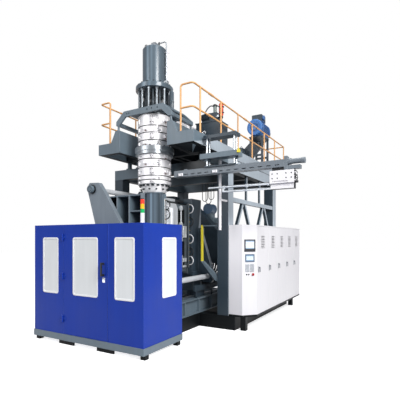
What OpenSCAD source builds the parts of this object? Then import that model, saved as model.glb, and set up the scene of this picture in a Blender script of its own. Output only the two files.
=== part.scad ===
/* [Base and bed] */
// Height of the welded base frame
skid_h = 300; // [240:10:360]
// Half width of the base under the clamp bed
skid_half_w = 940; // [900:10:980]
// Front end of the base, measured forward from the head axis
skid_front = 1500; // [1480:10:1600]
// Y place where the base widens to carry the towers
skid_step_y = 450; // [430:5:460]
// Rear end of the base behind the head axis
skid_rear = 4300; // [4250:10:4400]
// Wall of the base beams
skid_beam_w = 160; // [120:10:200]
// Height of the bed girders over their flanges
girder_h = 340; // [300:10:380]
// Width of a bed girder flange
girder_w = 240; // [180:10:280]
// Flange thickness of the bed girders
girder_flange_t = 26; // [18:1:34]
// Web thickness of the bed girders
girder_web_t = 90; // [50:5:130]
// Rear end of the bed behind the head axis
bed_rear = 2700; // [2600:20:2900]
// Height of a linear rail
rail_h = 50; // [40:2:60]
// Width of a linear rail
rail_w = 60; // [45:1:80]
// Distance from the centre line to a rail
rail_x = 760; // [740:5:790]
// Running gap between a shoe and its rail
shoe_gap = 1; // [0.3:0.1:2]

/* [Clamp unit] */
// Half width of the platens
platen_half_w = 750; // [740:2:760]
// Underside of the mould plates above the floor
platen_bottom = 1180; // [1100:10:1240]
// Top of the mould plates above the floor
platen_top = 2940; // [2900:5:3000]
// Thickness of a mould plate
platen_t = 80; // [60:2:110]
// Depth of a platen with its ribs
platen_depth = 420; // [380:5:440]
// Thickness of the platen ribs
rib_t = 26; // [20:1:32]
// Thickness of the diagonal front plate
arm_t = 110; // [90:2:130]
// Half width of the mould
mould_half_w = 600; // [580:2:610]
// Depth of one mould half
mould_depth = 440; // [400:5:480]
// Underside of the mould above the floor
mould_bottom = 1250; // [1220:5:1300]
// Height of the mould block
mould_h = 1540; // [1500:10:1600]
// Radius of the drum cavity
cavity_r = 290; // [250:5:310]
// Height of the drum cavity
cavity_h = 930; // [850:10:1000]
// Diameter of a tie bar
tie_bar_d = 116; // [100:1:120]
// Distance from the centre line to a tie bar
tie_bar_x = 990; // [980:2:1000]
// Height of the lower tie bar
tie_low_z = 1121; // [1115:1:1130]
// Height of the upper tie bar
tie_high_z = 3108; // [3100:1:3116]
// Clearance round a tie bar in the rear platen
tie_gap = 1; // [0.4:0.1:2]
// Front face of the rear pull plate
pull_y = 2000; // [1960:10:2040]
// Thickness of the rear pull plate
pull_t = 250; // [200:10:280]
// Opening travel of each platen
clamp_travel = 450; // [400:10:470]
// Outer diameter of the clamp cylinder
clamp_cyl_d = 420; // [380:10:460]
// Diameter of the clamp rod
clamp_rod_d = 200; // [160:5:220]
// Running gap round the clamp rod
clamp_rod_gap = 1; // [0.4:0.1:2]
// Diameter of the blow pin
blow_pin_d = 90; // [70:2:110]
// Lift of the blow pin
blow_lift = 180; // [140:5:200]

/* [Towers and platforms] */
// Distance from the centre line to the inner face of a tower
tower_in_x = 1400; // [1390:2:1420]
// Square section of a tower column
column_w = 270; // [230:5:275]
// Front face of the towers
tower_front_y = 470; // [460:2:480]
// Rear face of the towers
tower_rear_y = 3750; // [3650:10:3800]
// Top of the truss above the floor
truss_top = 2950; // [2850:10:3000]
// Height of the truss
truss_h = 1150; // [1000:10:1250]
// Section of the truss bars
truss_bar = 100; // [70:2:120]
// Underside of the lower platform frame
lower_z = 3560; // [3540:5:3600]
// Height of the lower platform beams
lower_h = 250; // [220:5:270]
// Width of the lower platform beams
lower_beam_w = 200; // [140:5:240]
// Underside of the extruder deck
deck_z = 4000; // [3980:5:4020]
// Height of the deck beams
deck_h = 250; // [220:5:260]
// Half width of the deck
deck_half_w = 1330; // [1320:2:1340]
// Front end of the deck before the head axis
deck_front = 450; // [430:5:500]
// Rear end of the deck behind the head axis
deck_rear = 5900; // [5850:10:6000]
// Width of the deck edge beams
deck_beam_w = 130; // [100:5:160]
// Half width of the head slot in the deck
slot_half_w = 667; // [650:1:690]
// Rear end of the head slot
slot_rear = 520; // [500:5:560]
// Height of the head supports above the deck
saddle_h = 260; // [230:5:270]
// Thickness of the deck floor plate
floor_t = 8; // [5:1:12]

/* [Guard rails] */
// Height of the top rail above the deck
guard_rail_h = 980; // [900:10:1100]
// Height of the middle rail above the deck
mid_rail_h = 490; // [400:10:600]
// Diameter of the guard rail tube
guard_rail_d = 38; // [34:1:48]
// Distance between guard rail posts
post_pitch = 977; // [900:1:1000]
// Place of the first post behind the head axis
first_post_y = -110; // [-140:5:-80]

/* [Die head] */
// Radius of the head body under its heater bands
head_r = 330; // [310:2:350]
// Outer radius of the heater bands
band_r = 380; // [372:1:386]
// Underside of the lowest heater band
head_bottom = 3236; // [3220:2:3250]
// Top of the head body
head_top = 4800; // [4780:5:4820]
// Radius of the head flange
head_flange_r = 450; // [430:2:460]
// Underside of the head flange
head_flange_z = 3910; // [3900:2:3920]
// Thickness of the head flange
head_flange_t = 168; // [150:2:190]
// Gap between heater bands
band_gap = 12; // [8:1:20]
// Radius of the die
die_r = 265; // [240:5:280]
// Height of the die
die_h = 169; // [150:1:180]
// Radius of the die opening
die_bore_r = 120; // [100:2:140]
// Die gap round the core
die_gap = 8; // [4:1:12]
// Stroke of the die core
core_stroke = 30; // [15:1:40]
// Half width of the yoke over its arms
yoke_half_w = 780; // [770:2:790]
// Half length of the yoke
yoke_half_l = 440; // [420:2:450]
// Top of the yoke above the floor
yoke_top = 4930; // [4900:5:4960]
// Thickness of the yoke plates
yoke_t = 45; // [30:1:60]
// Underside of the cylinder flange
cyl_flange_z = 5400; // [5380:5:5440]
// Thickness of the cylinder flange
cyl_flange_t = 110; // [90:2:130]
// Radius of the cylinder flange
cyl_flange_r = 432; // [420:2:445]
// Outer radius of the ram cylinder
ram_cyl_r = 275; // [260:2:290]
// Height of the ram cylinder above its flange
ram_cyl_h = 890; // [800:10:950]
// Radius of the ram rod
ram_rod_r = 90; // [70:2:110]
// Running gap round the ram rod
ram_gap = 1; // [0.4:0.1:2]
// Stroke of the ram
ram_stroke = 200; // [150:5:220]
// Number of cage rods
cage_rods_n = 12; // [8:1:14]
// Diameter of a cage rod
cage_rod_d = 46; // [36:1:56]
// Radius of the circle of cage rods
cage_circle_r = 354; // [350:1:362]

/* [Extruder] */
// Height of the extruder axis
screw_z = 4620; // [4600:5:4640]
// Diameter of the extruder screw
screw_d = 120; // [100:2:130]
// Clearance round the screw flights
screw_gap = 1; // [0.4:0.1:2]
// Outer radius of the extruder barrel
barrel_r = 105; // [95:1:110]
// Half width of the barrel cover
cover_half_w = 300; // [260:5:340]
// Top of the barrel cover above the screw axis
cover_rise = 380; // [340:5:420]
// Front end of the barrel cover
cover_front_y = 950; // [900:10:1050]
// Front face of the gearbox
gearbox_y = 4450; // [4400:10:4500]
// Length of the gearbox
gearbox_l = 700; // [650:10:760]
// Height of the gearbox
gearbox_h = 800; // [740:10:860]
// Radius of the drive motor
motor_r = 267; // [240:1:280]
// Distance from the centre line to the motor axis
motor_x = 740; // [700:5:780]
// Height of the motor axis
motor_z = 5660; // [5620:5:5700]
// Length of the drive motor
motor_l = 780; // [700:10:820]

/* [Hydraulic station] */
// Width of the oil tank
tank_w = 645; // [630:5:650]
// Length of the oil tank
tank_l = 450; // [420:10:500]
// Height of the oil tank
tank_h = 590; // [560:5:600]
// Front face of the oil tank
tank_y = 945; // [930:5:960]
// Diameter of the gas accumulator bottle
bottle_d = 112; // [95:1:125]
// Height of the gas accumulator bottle above its bracket
bottle_h = 350; // [320:5:380]

/* [Front guard] */
// Half width of the guard
guard_half_w = 1385; // [1375:1:1395]
// Depth of the guard
guard_depth = 1160; // [1100:5:1220]
// Rear edge of the guard before the head axis
guard_back = 970; // [940:5:990]
// Height of the guard feet
guard_foot_h = 80; // [60:2:100]
// Height of the guard base channel
guard_channel_h = 120; // [100:2:140]
// Height of the guard panels
guard_panel_h = 2070; // [1950:10:2150]
// Thickness of the guard panels
guard_sheet = 45; // [30:1:60]
// Left edge of the guard door
door_left_x = -544; // [-560:1:-530]
// Width of the guard door
door_w = 1134; // [1110:1:1150]
// Gap round the guard door
door_gap = 4; // [2:0.5:6]
// Height of the windows
window_h = 1075; // [1000:5:1120]
// Lower edge of the windows above the floor
window_z = 955; // [920:5:1000]
// Width of the fixed windows
window_w = 445; // [380:5:460]
// Width of the door window
door_window_w = 640; // [560:5:680]
// Corner radius of the windows
window_r = 45; // [30:1:60]
// Middle of the left window
left_window_x = -904; // [-930:2:-890]
// Middle of the right window
right_window_x = 978; // [960:2:1000]
// Middle of the door window
door_window_x = 40; // [20:2:60]
// Middle of the side windows before the head axis
side_window_y = 1392; // [1370:2:1450]
// Thickness of the window panes
pane_t = 6; // [4:1:8]
// Diameter of the guard door hinge pins
hinge_pin_d = 16; // [12:1:20]
// Opening angle of the guard door
door_swing = 100; // [80:5:110]
// Diameter of the signal tower
signal_d = 70; // [50:1:80]
// Height of one signal lens
lens_h = 80; // [60:2:90]

/* [Control cabinets] */
// Underside of the cabinets above the floor
cabinet_z = 340; // [336:2:380]
// Height of the cabinets
cabinet_h = 1970; // [1900:10:2050]
// Width of one cabinet door
cabinet_pitch = 700; // [680:5:705]
// Number of cabinets in the row
cabinets_n = 5; // [5]
// Inner face of the cabinets from the centre line
cabinet_in_x = 1680; // [1676:1:1690]
// Outer face of the cabinet doors from the centre line
cabinet_out_x = 2240; // [2200:5:2280]
// Thickness of a cabinet door
cabinet_door_t = 30; // [20:1:40]
// Sheet thickness of the cabinets
cabinet_sheet = 20; // [12:1:30]
// Gap round a cabinet door
cabinet_gap = 3; // [2:0.5:5]
// Diameter of a cabinet hinge pin
cabinet_pin_d = 12; // [10:1:14]
// Width of the vent field in a door
vent_w = 250; // [200:5:300]
// Height of the vent field in a door
vent_h = 300; // [240:5:340]
// Place of the first console corner
console_x = 2000; // [1980:5:2020]
// Depth of the slanting console corner
console_run = 270; // [250:5:290]
// Diameter of the stop button head
stop_d = 60; // [50:1:70]
// Travel of the stop button
stop_travel = 6; // [4:0.5:8]
// Diameter of the selector knobs
knob_d = 30; // [24:1:36]

/* [Take-out robot] */
// Middle of the robot beam before the head axis
robot_y = 30; // [20:1:40]
// Left end of the robot beam
robot_left_x = 620; // [610:5:640]
// Right end of the robot beam
robot_right_x = 3100; // [3050:10:3150]
// Underside of the robot beam
robot_z = 3360; // [3350:2:3370]
// Height of the robot beam
robot_h = 140; // [120:2:146]
// Depth of the robot beam
robot_d = 160; // [130:2:170]
// Underside of the guide head
guide_head_z = 3680; // [3670:2:3700]
// Height of the guide head
guide_head_h = 110; // [100:2:120]
// Diameter of a lift guide rod
lift_rod_d = 40; // [32:1:46]
// Underside of the lift top plate
lift_top_z = 4100; // [4090:2:4120]
// Lift travel of the robot downwards
lift_travel = 250; // [200:10:280]
// Cross travel of the take-out arm
arm_travel = 900; // [800:10:940]
// Diameter of the arm rods
arm_rod_d = 50; // [40:1:54]
// Height of the upper arm rod axis
arm_rod_z = 3075; // [3070:1:3080]
// Length of the carriage plate
carriage_l = 468; // [460:2:480]

/* [Hidden] */
$fn = 48;

// Seat gap between parts that slide or rest on each other
seat = 0.3;
// Small overlap that makes a cut pass through its wall
cut = 1;

// Foundation bolt holes near the corners of the base
anchor_inset = 80;
anchor_d = 36;
// Distance between the web stiffeners of the bed
stiffener_pitch = 600;

// Diameter of the jacks under the deck
jack_d = 110;
// Flat top of a head support
saddle_flat = 133;
// Distance between the cross beams of the deck
deck_cross_pitch = 1050;
// Distance of the guard rail posts from the deck edge
post_inset = 40;
// Length of the short front return of a guard rail
rail_return = 340;

// Knees of the yoke plates
knee_x = 550;
// Place of the adjusting studs under the yoke
stud_y = 400;
// Circle and diameter of the push rods
push_circle_r = 190;
push_rod_d = 50;
// Radius of the ram piston
piston_r = 220;
// Heights of the heater bands below and above the flange, as shares of their stack
lower_bands = [92, 93, 191, 185, 113];
upper_bands = [135, 169, 156, 260];
// End of the side port that takes the extruder
port_y = 400;

// Half width of the gearbox
gear_half_w = 280;
// Height of the gearbox input shaft
gear_input_z = 4900;
// Front face and thickness of the belt guard, and the radii of its two ends
belt_y = gearbox_y + gearbox_l + 150;
belt_t = 120;
belt_gear_r = 250;
belt_motor_r = 190;

// Radius and height of the tie bar nuts
nut_r = 82;
nut_h = 90;
// Diameter and thickness of the clamp piston
clamp_piston_d = 300;
rod_piston_t = 90;
// Diameter of the mould guide pins
guide_pin_d = 40;

// Distance between the slots in the robot beam
beam_slot_pitch = 170;
// Ends of the robot lift frame
lift_left_x = deck_half_w + 70;
lift_right_x = lift_left_x + 710;
// Lower end of the guide post
post_low_z = 2190;
// Left end of the take-out arm
arm_tip_x = 1455;
// Place and ends of the light barrier post
barrier_x = 980;
barrier_low_z = 1490;
barrier_top_z = 2320;
// Lip that holds a pane and how far its frame stands proud
window_lip = 14;
window_proud = 6;
// Radius of the guard door hinge knuckles
hinge_r = 18;
// Lower end of the guard door handle
handle_z = 1350;

// Height of the cabinet frame above and below the doors
lintel = 25;
// Length of a door pivot pin
pivot_l = 20;
// Number of louvres in a vent
louvres_n = 8;
// Lower end of the cabinet latches
latch_z = 1260;
// Height of the stop button and the selectors
controls_z = 1225;
// Places of the stop button and selectors along the console face
stop_u = 75;
selector_u = [-75, -25];
// Stem diameters of the stop button and the selectors
stop_stem_d = 22;
selector_stem_d = 16;

// Colours of the paints and metals
grey_paint = "#73828E";
dark_paint = "#36454F";
black_paint = "#1D2226";
white_paint = "#F0EEF0";
blue_paint = "#2F49B0";
rail_paint = "#E79B45";
steel = "#C4C9CC";
bright_steel = "#E3E5E6";

// Heights and places worked out from the dimensions above
girder_x = skid_half_w - girder_w / 2;
rail_top = skid_h + girder_h + rail_h;
shoe_z = rail_top + seat;
tower_out_x = tower_in_x + column_w;
lower_top = lower_z + lower_h;
deck_top = deck_z + deck_h;
saddle_top = deck_top + saddle_h;
floor_top = deck_top + floor_t;
arm_mid_z = (tie_low_z + tie_high_z) / 2;
mould_top = mould_bottom + mould_h;
front_face_y = -mould_depth - platen_depth - arm_t;
rear_face_y = mould_depth + platen_depth;
cyl_base_z = cyl_flange_z + cyl_flange_t;
cyl_top_z = cyl_base_z + ram_cyl_h;
crosshead_z = yoke_top + 60;
piston_z = cyl_flange_z + 80;
core_top = head_bottom + 400;
rod_piston_y = pull_y + pull_t + 100;
cavity_z = mould_bottom + 270;
blow_pin_z = skid_h + 120;
motor_foot_z = motor_z - motor_r - 20;
guard_front_y = -guard_back - guard_depth;
panel_z = guard_foot_h + guard_channel_h;
guard_top = panel_z + guard_panel_h;
cabinet_front_y = tower_front_y + 10;
row_front_y = cabinet_front_y + console_run + 30;
row_rear_y = row_front_y + cabinets_n * cabinet_pitch;
cabinet_top = cabinet_z + cabinet_h;

// A plain block between two corners
module block(low, high) {
  translate(low) cube(high - low);
}

// The same piece on both sides of the centre plane
module both_sides() {
  children();
  mirror([1, 0, 0]) children();
}

// A round bar between two points in one vertical or level plane
module bar(from, to, d) {
  run = to - from;
  flat = norm([run[0], run[1]]);
  translate(from) rotate([0, atan2(flat, run[2]), atan2(run[1], run[0])]) cylinder(h = norm(run), d = d);
}

// A box beam along Y whose ends lie at two heights, seen from the side
module slanting_bar(x, w, from, to, t) {
  angle = atan2(to[1] - from[1], to[0] - from[0]);
  length = norm(to - from);
  translate([x, from[0], from[1]]) rotate([angle, 0, 0]) translate([0, 0, -t / 2]) cube([w, length, t]);
}

// A ring standing on a level face
module ring(outer, inner, z, h) {
  translate([0, 0, z]) rotate_extrude() translate([inner, 0]) square([outer - inner, h]);
}

// A flat outline in the XZ plane given a thickness along Y, from y backwards
module profile_y(y, t) {
  translate([0, y + t, 0]) rotate([90, 0, 0]) linear_extrude(t) children();
}

// An outline in the YZ plane given a thickness along X
module profile_x(x, t) {
  translate([x, 0, 0]) rotate([90, 0, 90]) linear_extrude(t) children();
}

// A rectangle with rounded corners, centred
module round_rect(w, h, r) {
  difference() {
    square([w, h], center = true);
    for (sx = [-1, 1], sy = [-1, 1]) {
      translate([sx * (w / 2 - r), sy * (h / 2 - r)]) difference() {
        translate([sx > 0 ? 0 : -r - 1, sy > 0 ? 0 : -r - 1]) square(r + 1);
        circle(r);
      }
    }
  }
}

// I-section of a bed girder, centred on x, standing on z = 0
module girder_section() {
  translate([-girder_w / 2, 0]) square([girder_w, girder_flange_t]);
  translate([-girder_w / 2, girder_h - girder_flange_t]) square([girder_w, girder_flange_t]);
  translate([-girder_web_t / 2, 0]) square([girder_web_t, girder_h]);
}

// Welded base frame: beams under the clamp, wide rear part under the towers, shelf for the cabinets
module base_skid() {
  color(black_paint) difference() {
    union() {
      for (side = [-1, 1]) {
        translate([side * (skid_half_w - skid_beam_w / 2) - skid_beam_w / 2, -skid_front, 0])
          cube([skid_beam_w, skid_front + skid_rear, skid_h]);
      }
      for (y = [-skid_front, -skid_beam_w / 2, skid_rear - skid_beam_w]) {
        block([-skid_half_w, y, 0], [skid_half_w, y + skid_beam_w, skid_h]);
      }
      for (y = [skid_step_y, tower_rear_y - column_w]) {
        block([-tower_out_x, y, 0], [cabinet_in_x + skid_beam_w, y + column_w + 20, skid_h]);
      }
      block([cabinet_in_x, skid_step_y, 0], [cabinet_in_x + skid_beam_w, skid_rear, skid_h]);
      block([-tower_out_x, skid_step_y, 0], [-tower_out_x + skid_beam_w, tower_rear_y, skid_h]);
      translate([0, 0, skid_h]) linear_extrude(cabinet_z - skid_h) polygon([
        [cabinet_in_x, cabinet_front_y], [console_x, cabinet_front_y],
        [cabinet_out_x, cabinet_front_y + console_run], [cabinet_out_x, row_rear_y],
        [cabinet_in_x, row_rear_y]]);
      block([console_x - 60, cabinet_front_y + 40, 0], [console_x + 60, cabinet_front_y + 160, skid_h]);
      block([console_x - 60, row_rear_y - 200, 0], [console_x + 60, row_rear_y - 80, skid_h]);
    }
    for (side = [-1, 1], y = [-skid_front + anchor_inset, skid_rear - anchor_inset]) {
      translate([side * (skid_half_w - skid_beam_w / 2), y, -cut]) cylinder(h = skid_h + 2 * cut, d = anchor_d);
    }
  }
}

// Two I-girders with stiffeners and cross beams that carry the clamp rails
module clamp_bed() {
  color(grey_paint) {
    both_sides() {
      translate([girder_x, -skid_front, skid_h]) rotate([90, 0, 0]) mirror([0, 0, 1])
        linear_extrude(skid_front + bed_rear) girder_section();
      for (y = [-skid_front + 150:stiffener_pitch:bed_rear - 100]) {
        block([girder_x - girder_w / 2, y, skid_h + girder_flange_t],
                      [girder_x + girder_w / 2, y + 20, skid_h + girder_h - girder_flange_t]);
      }
    }
    for (y = [-skid_front + 60, 500, bed_rear - 160]) {
      block([-girder_x + girder_w / 2, y, skid_h], [girder_x - girder_w / 2, y + 100, skid_h + girder_h - 60]);
    }
  }
}

// Linear rails with their bolt counterbores
module bed_rails() {
  color(steel) both_sides() difference() {
    block([rail_x - rail_w / 2, -skid_front + 30, skid_h + girder_h],
              [rail_x + rail_w / 2, bed_rear - 30, rail_top]);
    for (y = [-skid_front + 150:450:bed_rear - 100]) {
      translate([rail_x, y, rail_top - 14]) cylinder(h = 14 + cut, d = 24);
    }
  }
}

// One linear shoe on both rails from y, as long as l, up to height z
module shoes(y, l, z) {
  both_sides() difference() {
    block([rail_x - rail_w / 2 - 55, y, skid_h + girder_h + 12], [rail_x + rail_w / 2 + 55, y + l, z]);
    block([rail_x - rail_w / 2 - shoe_gap, y - cut, skid_h],
              [rail_x + rail_w / 2 + shoe_gap, y + l + cut, shoe_z]);
  }
}

// Box column with a foot plate and a head plate
module column(y) {
  block([tower_in_x, y, skid_h + 30], [tower_out_x, y + column_w, lower_z - 20]);
  block([tower_in_x, y, skid_h], [tower_out_x, y + column_w, skid_h + 30]);
  block([tower_in_x - 10, y, lower_z - 20], [tower_out_x, y + column_w, lower_z]);
}

// Tower of two columns joined by a truss with W-shaped bracing
module tower() {
  rear_y = tower_rear_y - column_w;
  front_y = tower_front_y + column_w;
  span = rear_y - front_y;
  bars = 4;
  low = truss_top - truss_h;
  column(tower_front_y);
  column(rear_y);
  x = tower_out_x - truss_bar - 10;
  block([x, front_y, truss_top - truss_bar], [x + truss_bar, rear_y, truss_top]);
  block([x, front_y, low], [x + truss_bar, rear_y, low + truss_bar]);
  intersection() {
    block([x, front_y, low + truss_bar], [x + truss_bar, rear_y, truss_top - truss_bar]);
    for (i = [0:bars - 1]) {
      up = i % 2 == 0;
      slanting_bar(x + truss_bar * 0.15, truss_bar * 0.7,
        [front_y + i * span / bars, up ? low : truss_top],
        [front_y + (i + 1) * span / bars, up ? truss_top : low], truss_bar * 0.7);
    }
  }
  for (i = [1:2]) {
    block([x, front_y + i * span / 3, truss_top], [x + truss_bar * 0.5, front_y + i * span / 3 + 50, lower_z]);
  }
}

module right_tower() {
  color(dark_paint) tower();
}

module left_tower() {
  color(dark_paint) mirror([1, 0, 0]) tower();
}

// Ring of beams on the four columns, with the short jacks that carry the deck
module lower_frame() {
  w = lower_beam_w;
  color(grey_paint) {
    for (y = [tower_front_y, (tower_front_y + tower_rear_y - w) / 2, tower_rear_y - w]) {
      block([-tower_out_x, y, lower_z], [tower_out_x, y + w, lower_top]);
    }
    both_sides() block([tower_out_x - w, tower_front_y + w, lower_z], [tower_out_x, tower_rear_y - w, lower_top]);
    both_sides() for (y = [tower_front_y + w / 2, tower_rear_y - w / 2]) {
      for (x = [slot_half_w + 250, deck_half_w - 90]) {
        translate([x, y, lower_top]) cylinder(h = deck_z - lower_top, d = jack_d);
        translate([x, y, lower_top]) cylinder(h = 30, d = jack_d * 1.7);
      }
    }
  }
}

// Outline of a head support seen from the front: a hump beside the slot
module saddle_outline() {
  polygon([
    [slot_half_w, deck_z], [deck_half_w, deck_z], [deck_half_w, deck_top],
    [slot_half_w + saddle_flat + saddle_h / 2, deck_top], [slot_half_w + saddle_flat, saddle_top],
    [slot_half_w, saddle_top]]);
}

// Extruder deck: edge beams, cross beams, head supports and a floor plate
module deck_frame() {
  w = deck_beam_w;
  color(grey_paint) {
    both_sides() {
      profile_y(-deck_front, w) saddle_outline();
      profile_y(slot_rear - w, w) saddle_outline();
      block([slot_half_w, w - deck_front, deck_z], [slot_half_w + w, slot_rear - w, saddle_top]);
      block([deck_half_w - w, w - deck_front, deck_z], [deck_half_w, deck_rear - w, deck_top]);
    }
    for (y = [slot_rear:deck_cross_pitch:deck_rear - w]) {
      block([-deck_half_w + w, y, deck_z], [deck_half_w - w, y + w, deck_top]);
    }
    block([-deck_half_w, deck_rear - w, deck_z], [deck_half_w, deck_rear, deck_top]);
    both_sides() block([w / 2, slot_rear + w, deck_z + 60], [w / 2 + 90, deck_rear - w, deck_top]);
    difference() {
      block([-deck_half_w, slot_rear, deck_top], [deck_half_w, deck_rear, floor_top]);
      both_sides() for (i = [0:6]) {
        translate([deck_half_w - post_inset, first_post_y + i * post_pitch, deck_top - cut])
          cylinder(h = floor_t + 2 * cut, d = guard_rail_d + 40);
      }
    }
  }
}

// One guard rail run on the right: posts, two rails, a front return and a rear return
module guard_rail() {
  x = deck_half_w - post_inset;
  d = guard_rail_d;
  bend = 60;
  last = first_post_y + 6 * post_pitch;
  top = deck_top + guard_rail_h;
  for (i = [0:6]) {
    y = first_post_y + i * post_pitch;
    translate([x, y, deck_top]) cylinder(h = guard_rail_h, d = d);
    translate([x, y, deck_top]) cylinder(h = 8, d = d + 36);
  }
  front = post_inset - deck_front;
  inner = deck_half_w - rail_return;
  translate([inner, front, deck_top]) cylinder(h = guard_rail_h - bend, d = d);
  translate([inner, front, deck_top]) cylinder(h = 8, d = d + 36);
  for (z = [top, deck_top + mid_rail_h]) {
    bar([x, front + bend, z], [x, last, z], d);
    translate([x - bend, front + bend, z]) rotate([0, 0, -90]) rotate_extrude(angle = 90)
      translate([bend, 0]) circle(d = d);
    bar([inner + (z == top ? bend : 0), front, z], [x - bend, front, z], d);
    bar([0, last, z], [x, last, z], d);
    translate([x, last, z]) sphere(d = d);
  }
  translate([inner + bend, front, top - bend]) rotate([90, 0, 0]) rotate([0, 0, 90])
    rotate_extrude(angle = 90) translate([bend, 0]) circle(d = d);
}

module right_guard_rail() {
  color(rail_paint) guard_rail();
}

module left_guard_rail() {
  color(rail_paint) mirror([1, 0, 0]) guard_rail();
}

// Arched end plate of the yoke, seen from the front
module yoke_plate() {
  difference() {
    polygon([
      [-yoke_half_w, yoke_top - 300], [-yoke_half_w, yoke_top - 210], [-knee_x, yoke_top],
      [knee_x, yoke_top], [yoke_half_w, yoke_top - 210], [yoke_half_w, yoke_top - 300],
      [yoke_half_w - 90, yoke_top - 300], [knee_x - 40, yoke_top - 130],
      [40 - knee_x, yoke_top - 130], [90 - yoke_half_w, yoke_top - 300]]);
    for (x = [-460, -400, 120, 250, 400]) {
      translate([x, yoke_top - 65]) circle(d = 34);
    }
  }
}

// Yoke: two arched plates, side beams, a ported top plate and four adjusting studs
module yoke_frame() {
  color(grey_paint) {
    profile_y(-yoke_half_l, yoke_t) yoke_plate();
    profile_y(yoke_half_l - yoke_t, yoke_t) yoke_plate();
    both_sides() {
      block([yoke_half_w - 80, yoke_t - yoke_half_l, yoke_top - 300],
                  [yoke_half_w, yoke_half_l - yoke_t, yoke_top - 225]);
      for (y = [-stud_y, stud_y]) {
        translate([yoke_half_w - 40, y, saddle_top])
          cylinder(h = yoke_top - 300 - saddle_top, d = 50);
        translate([yoke_half_w - 40, y, saddle_top]) cylinder(h = 24, d = 76, $fn = 6);
      }
    }
    difference() {
      block([-knee_x, yoke_t - yoke_half_l, yoke_top - yoke_t],
                  [knee_x, yoke_half_l - yoke_t, yoke_top]);
      translate([0, 0, yoke_top - yoke_t - cut]) cylinder(h = yoke_t + 2 * cut, r = push_circle_r + 50);
    }
  }
}

// Accumulator body: stepped barrel with a flange, a melt bore, a side port and push rod bores
module head_barrel() {
  neck_top = yoke_top - yoke_t;
  color(steel) difference() {
    union() {
      rotate_extrude() polygon([
        [die_bore_r, head_bottom], [head_r, head_bottom], [head_r, head_flange_z],
        [head_flange_r - 16, head_flange_z], [head_flange_r - 16, head_flange_z + head_flange_t * 0.42],
        [head_flange_r, head_flange_z + head_flange_t * 0.42], [head_flange_r, head_flange_z + head_flange_t],
        [head_r, head_flange_z + head_flange_t], [head_r, head_top], [head_r - 30, head_top],
        [head_r - 30, neck_top], [0, neck_top], [0, core_top + 60], [die_bore_r / 2 + seat, core_top + 60],
        [die_bore_r / 2 + seat, core_top - 150], [die_bore_r, core_top - 150]]);
      translate([0, 0, screw_z]) rotate([-90, 0, 0]) cylinder(h = port_y, r = barrel_r);
    }
    translate([0, head_r / 2, screw_z]) rotate([-90, 0, 0]) cylinder(h = port_y, r = screw_d / 4);
    for (a = [45:90:315]) {
      rotate([0, 0, a]) translate([push_circle_r, 0, head_top - 260])
        cylinder(h = 400, d = push_rod_d + 2 * ram_gap);
    }
  }
}

// One clamped heater band with its two terminal boxes
module heater_band(z, h) {
  difference() {
    union() {
      ring(band_r, head_r + seat, z, h - band_gap);
      for (a = [-118, -52, 15]) {
        rotate([0, 0, a]) translate([band_r - 8, -28, z + h * 0.22]) cube([28, 56, h * 0.4]);
      }
    }
    translate([0, 0, screw_z]) rotate([-90, 0, 0]) cylinder(h = port_y, r = barrel_r + 12);
    rotate([0, 0, 140]) translate([head_r - 10, -4, z - cut]) cube([band_r, 8, h]);
  }
}

// Sum of the first n values of a list
function sum_first(list, n) = n == 0 ? 0 : list[n - 1] + sum_first(list, n - 1);

// Heater bands below and above the flange, each a separate clamped ring
module heater_bands() {
  color(bright_steel) {
    lower_pitch = (head_flange_z - head_bottom) / sum_first(lower_bands, len(lower_bands));
    upper_z = head_flange_z + head_flange_t;
    upper_pitch = (head_top - upper_z) / sum_first(upper_bands, len(upper_bands));
    for (i = [0:len(lower_bands) - 1]) {
      heater_band(head_bottom + band_gap / 2 + sum_first(lower_bands, i) * lower_pitch, lower_bands[i] * lower_pitch);
    }
    for (i = [0:len(upper_bands) - 1]) {
      heater_band(upper_z + band_gap / 2 + sum_first(upper_bands, i) * upper_pitch, upper_bands[i] * upper_pitch);
    }
  }
}

// Die ring bolted under the head, with a tapered outside and a bored middle
module die_ring() {
  color(steel) rotate_extrude() polygon([
    [die_bore_r, head_bottom - die_h], [die_r, head_bottom - die_h], [die_r + 12, head_bottom - die_h + 25],
    [head_r - 25, head_bottom - 40], [head_r - 6, head_bottom - 40], [head_r - 6, head_bottom],
    [die_bore_r, head_bottom]]);
}

// Core that closes the die opening from inside and moves to set the wall thickness
module die_core() {
  color(bright_steel) rotate_extrude() polygon([
    [0, head_bottom - die_h - 12], [die_bore_r - die_gap - 30, head_bottom - die_h - 12],
    [die_bore_r - die_gap, head_bottom - die_h], [die_bore_r - die_gap, head_bottom - die_h + 60],
    [die_bore_r / 2, head_bottom], [die_bore_r / 2, core_top], [0, core_top]]);
}

// Hydraulic ram cylinder: bolted flange, barrel and cap
module ram_cylinder() {
  wall = ram_cyl_r - piston_r;
  color(grey_paint) difference() {
    rotate_extrude() polygon([
      [ram_rod_r + ram_gap, cyl_flange_z], [cyl_flange_r - 8, cyl_flange_z], [cyl_flange_r, cyl_flange_z + 8],
      [cyl_flange_r, cyl_base_z - 20], [cyl_flange_r - 20, cyl_base_z], [ram_cyl_r + 12, cyl_base_z],
      [ram_cyl_r, cyl_base_z + 30], [ram_cyl_r, cyl_top_z - 30], [ram_cyl_r - 30, cyl_top_z],
      [0, cyl_top_z], [0, cyl_top_z - wall], [piston_r + ram_gap, cyl_top_z - wall],
      [piston_r + ram_gap, cyl_flange_z + 60], [ram_rod_r + ram_gap, cyl_flange_z + 60]]);
  }
}

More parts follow.
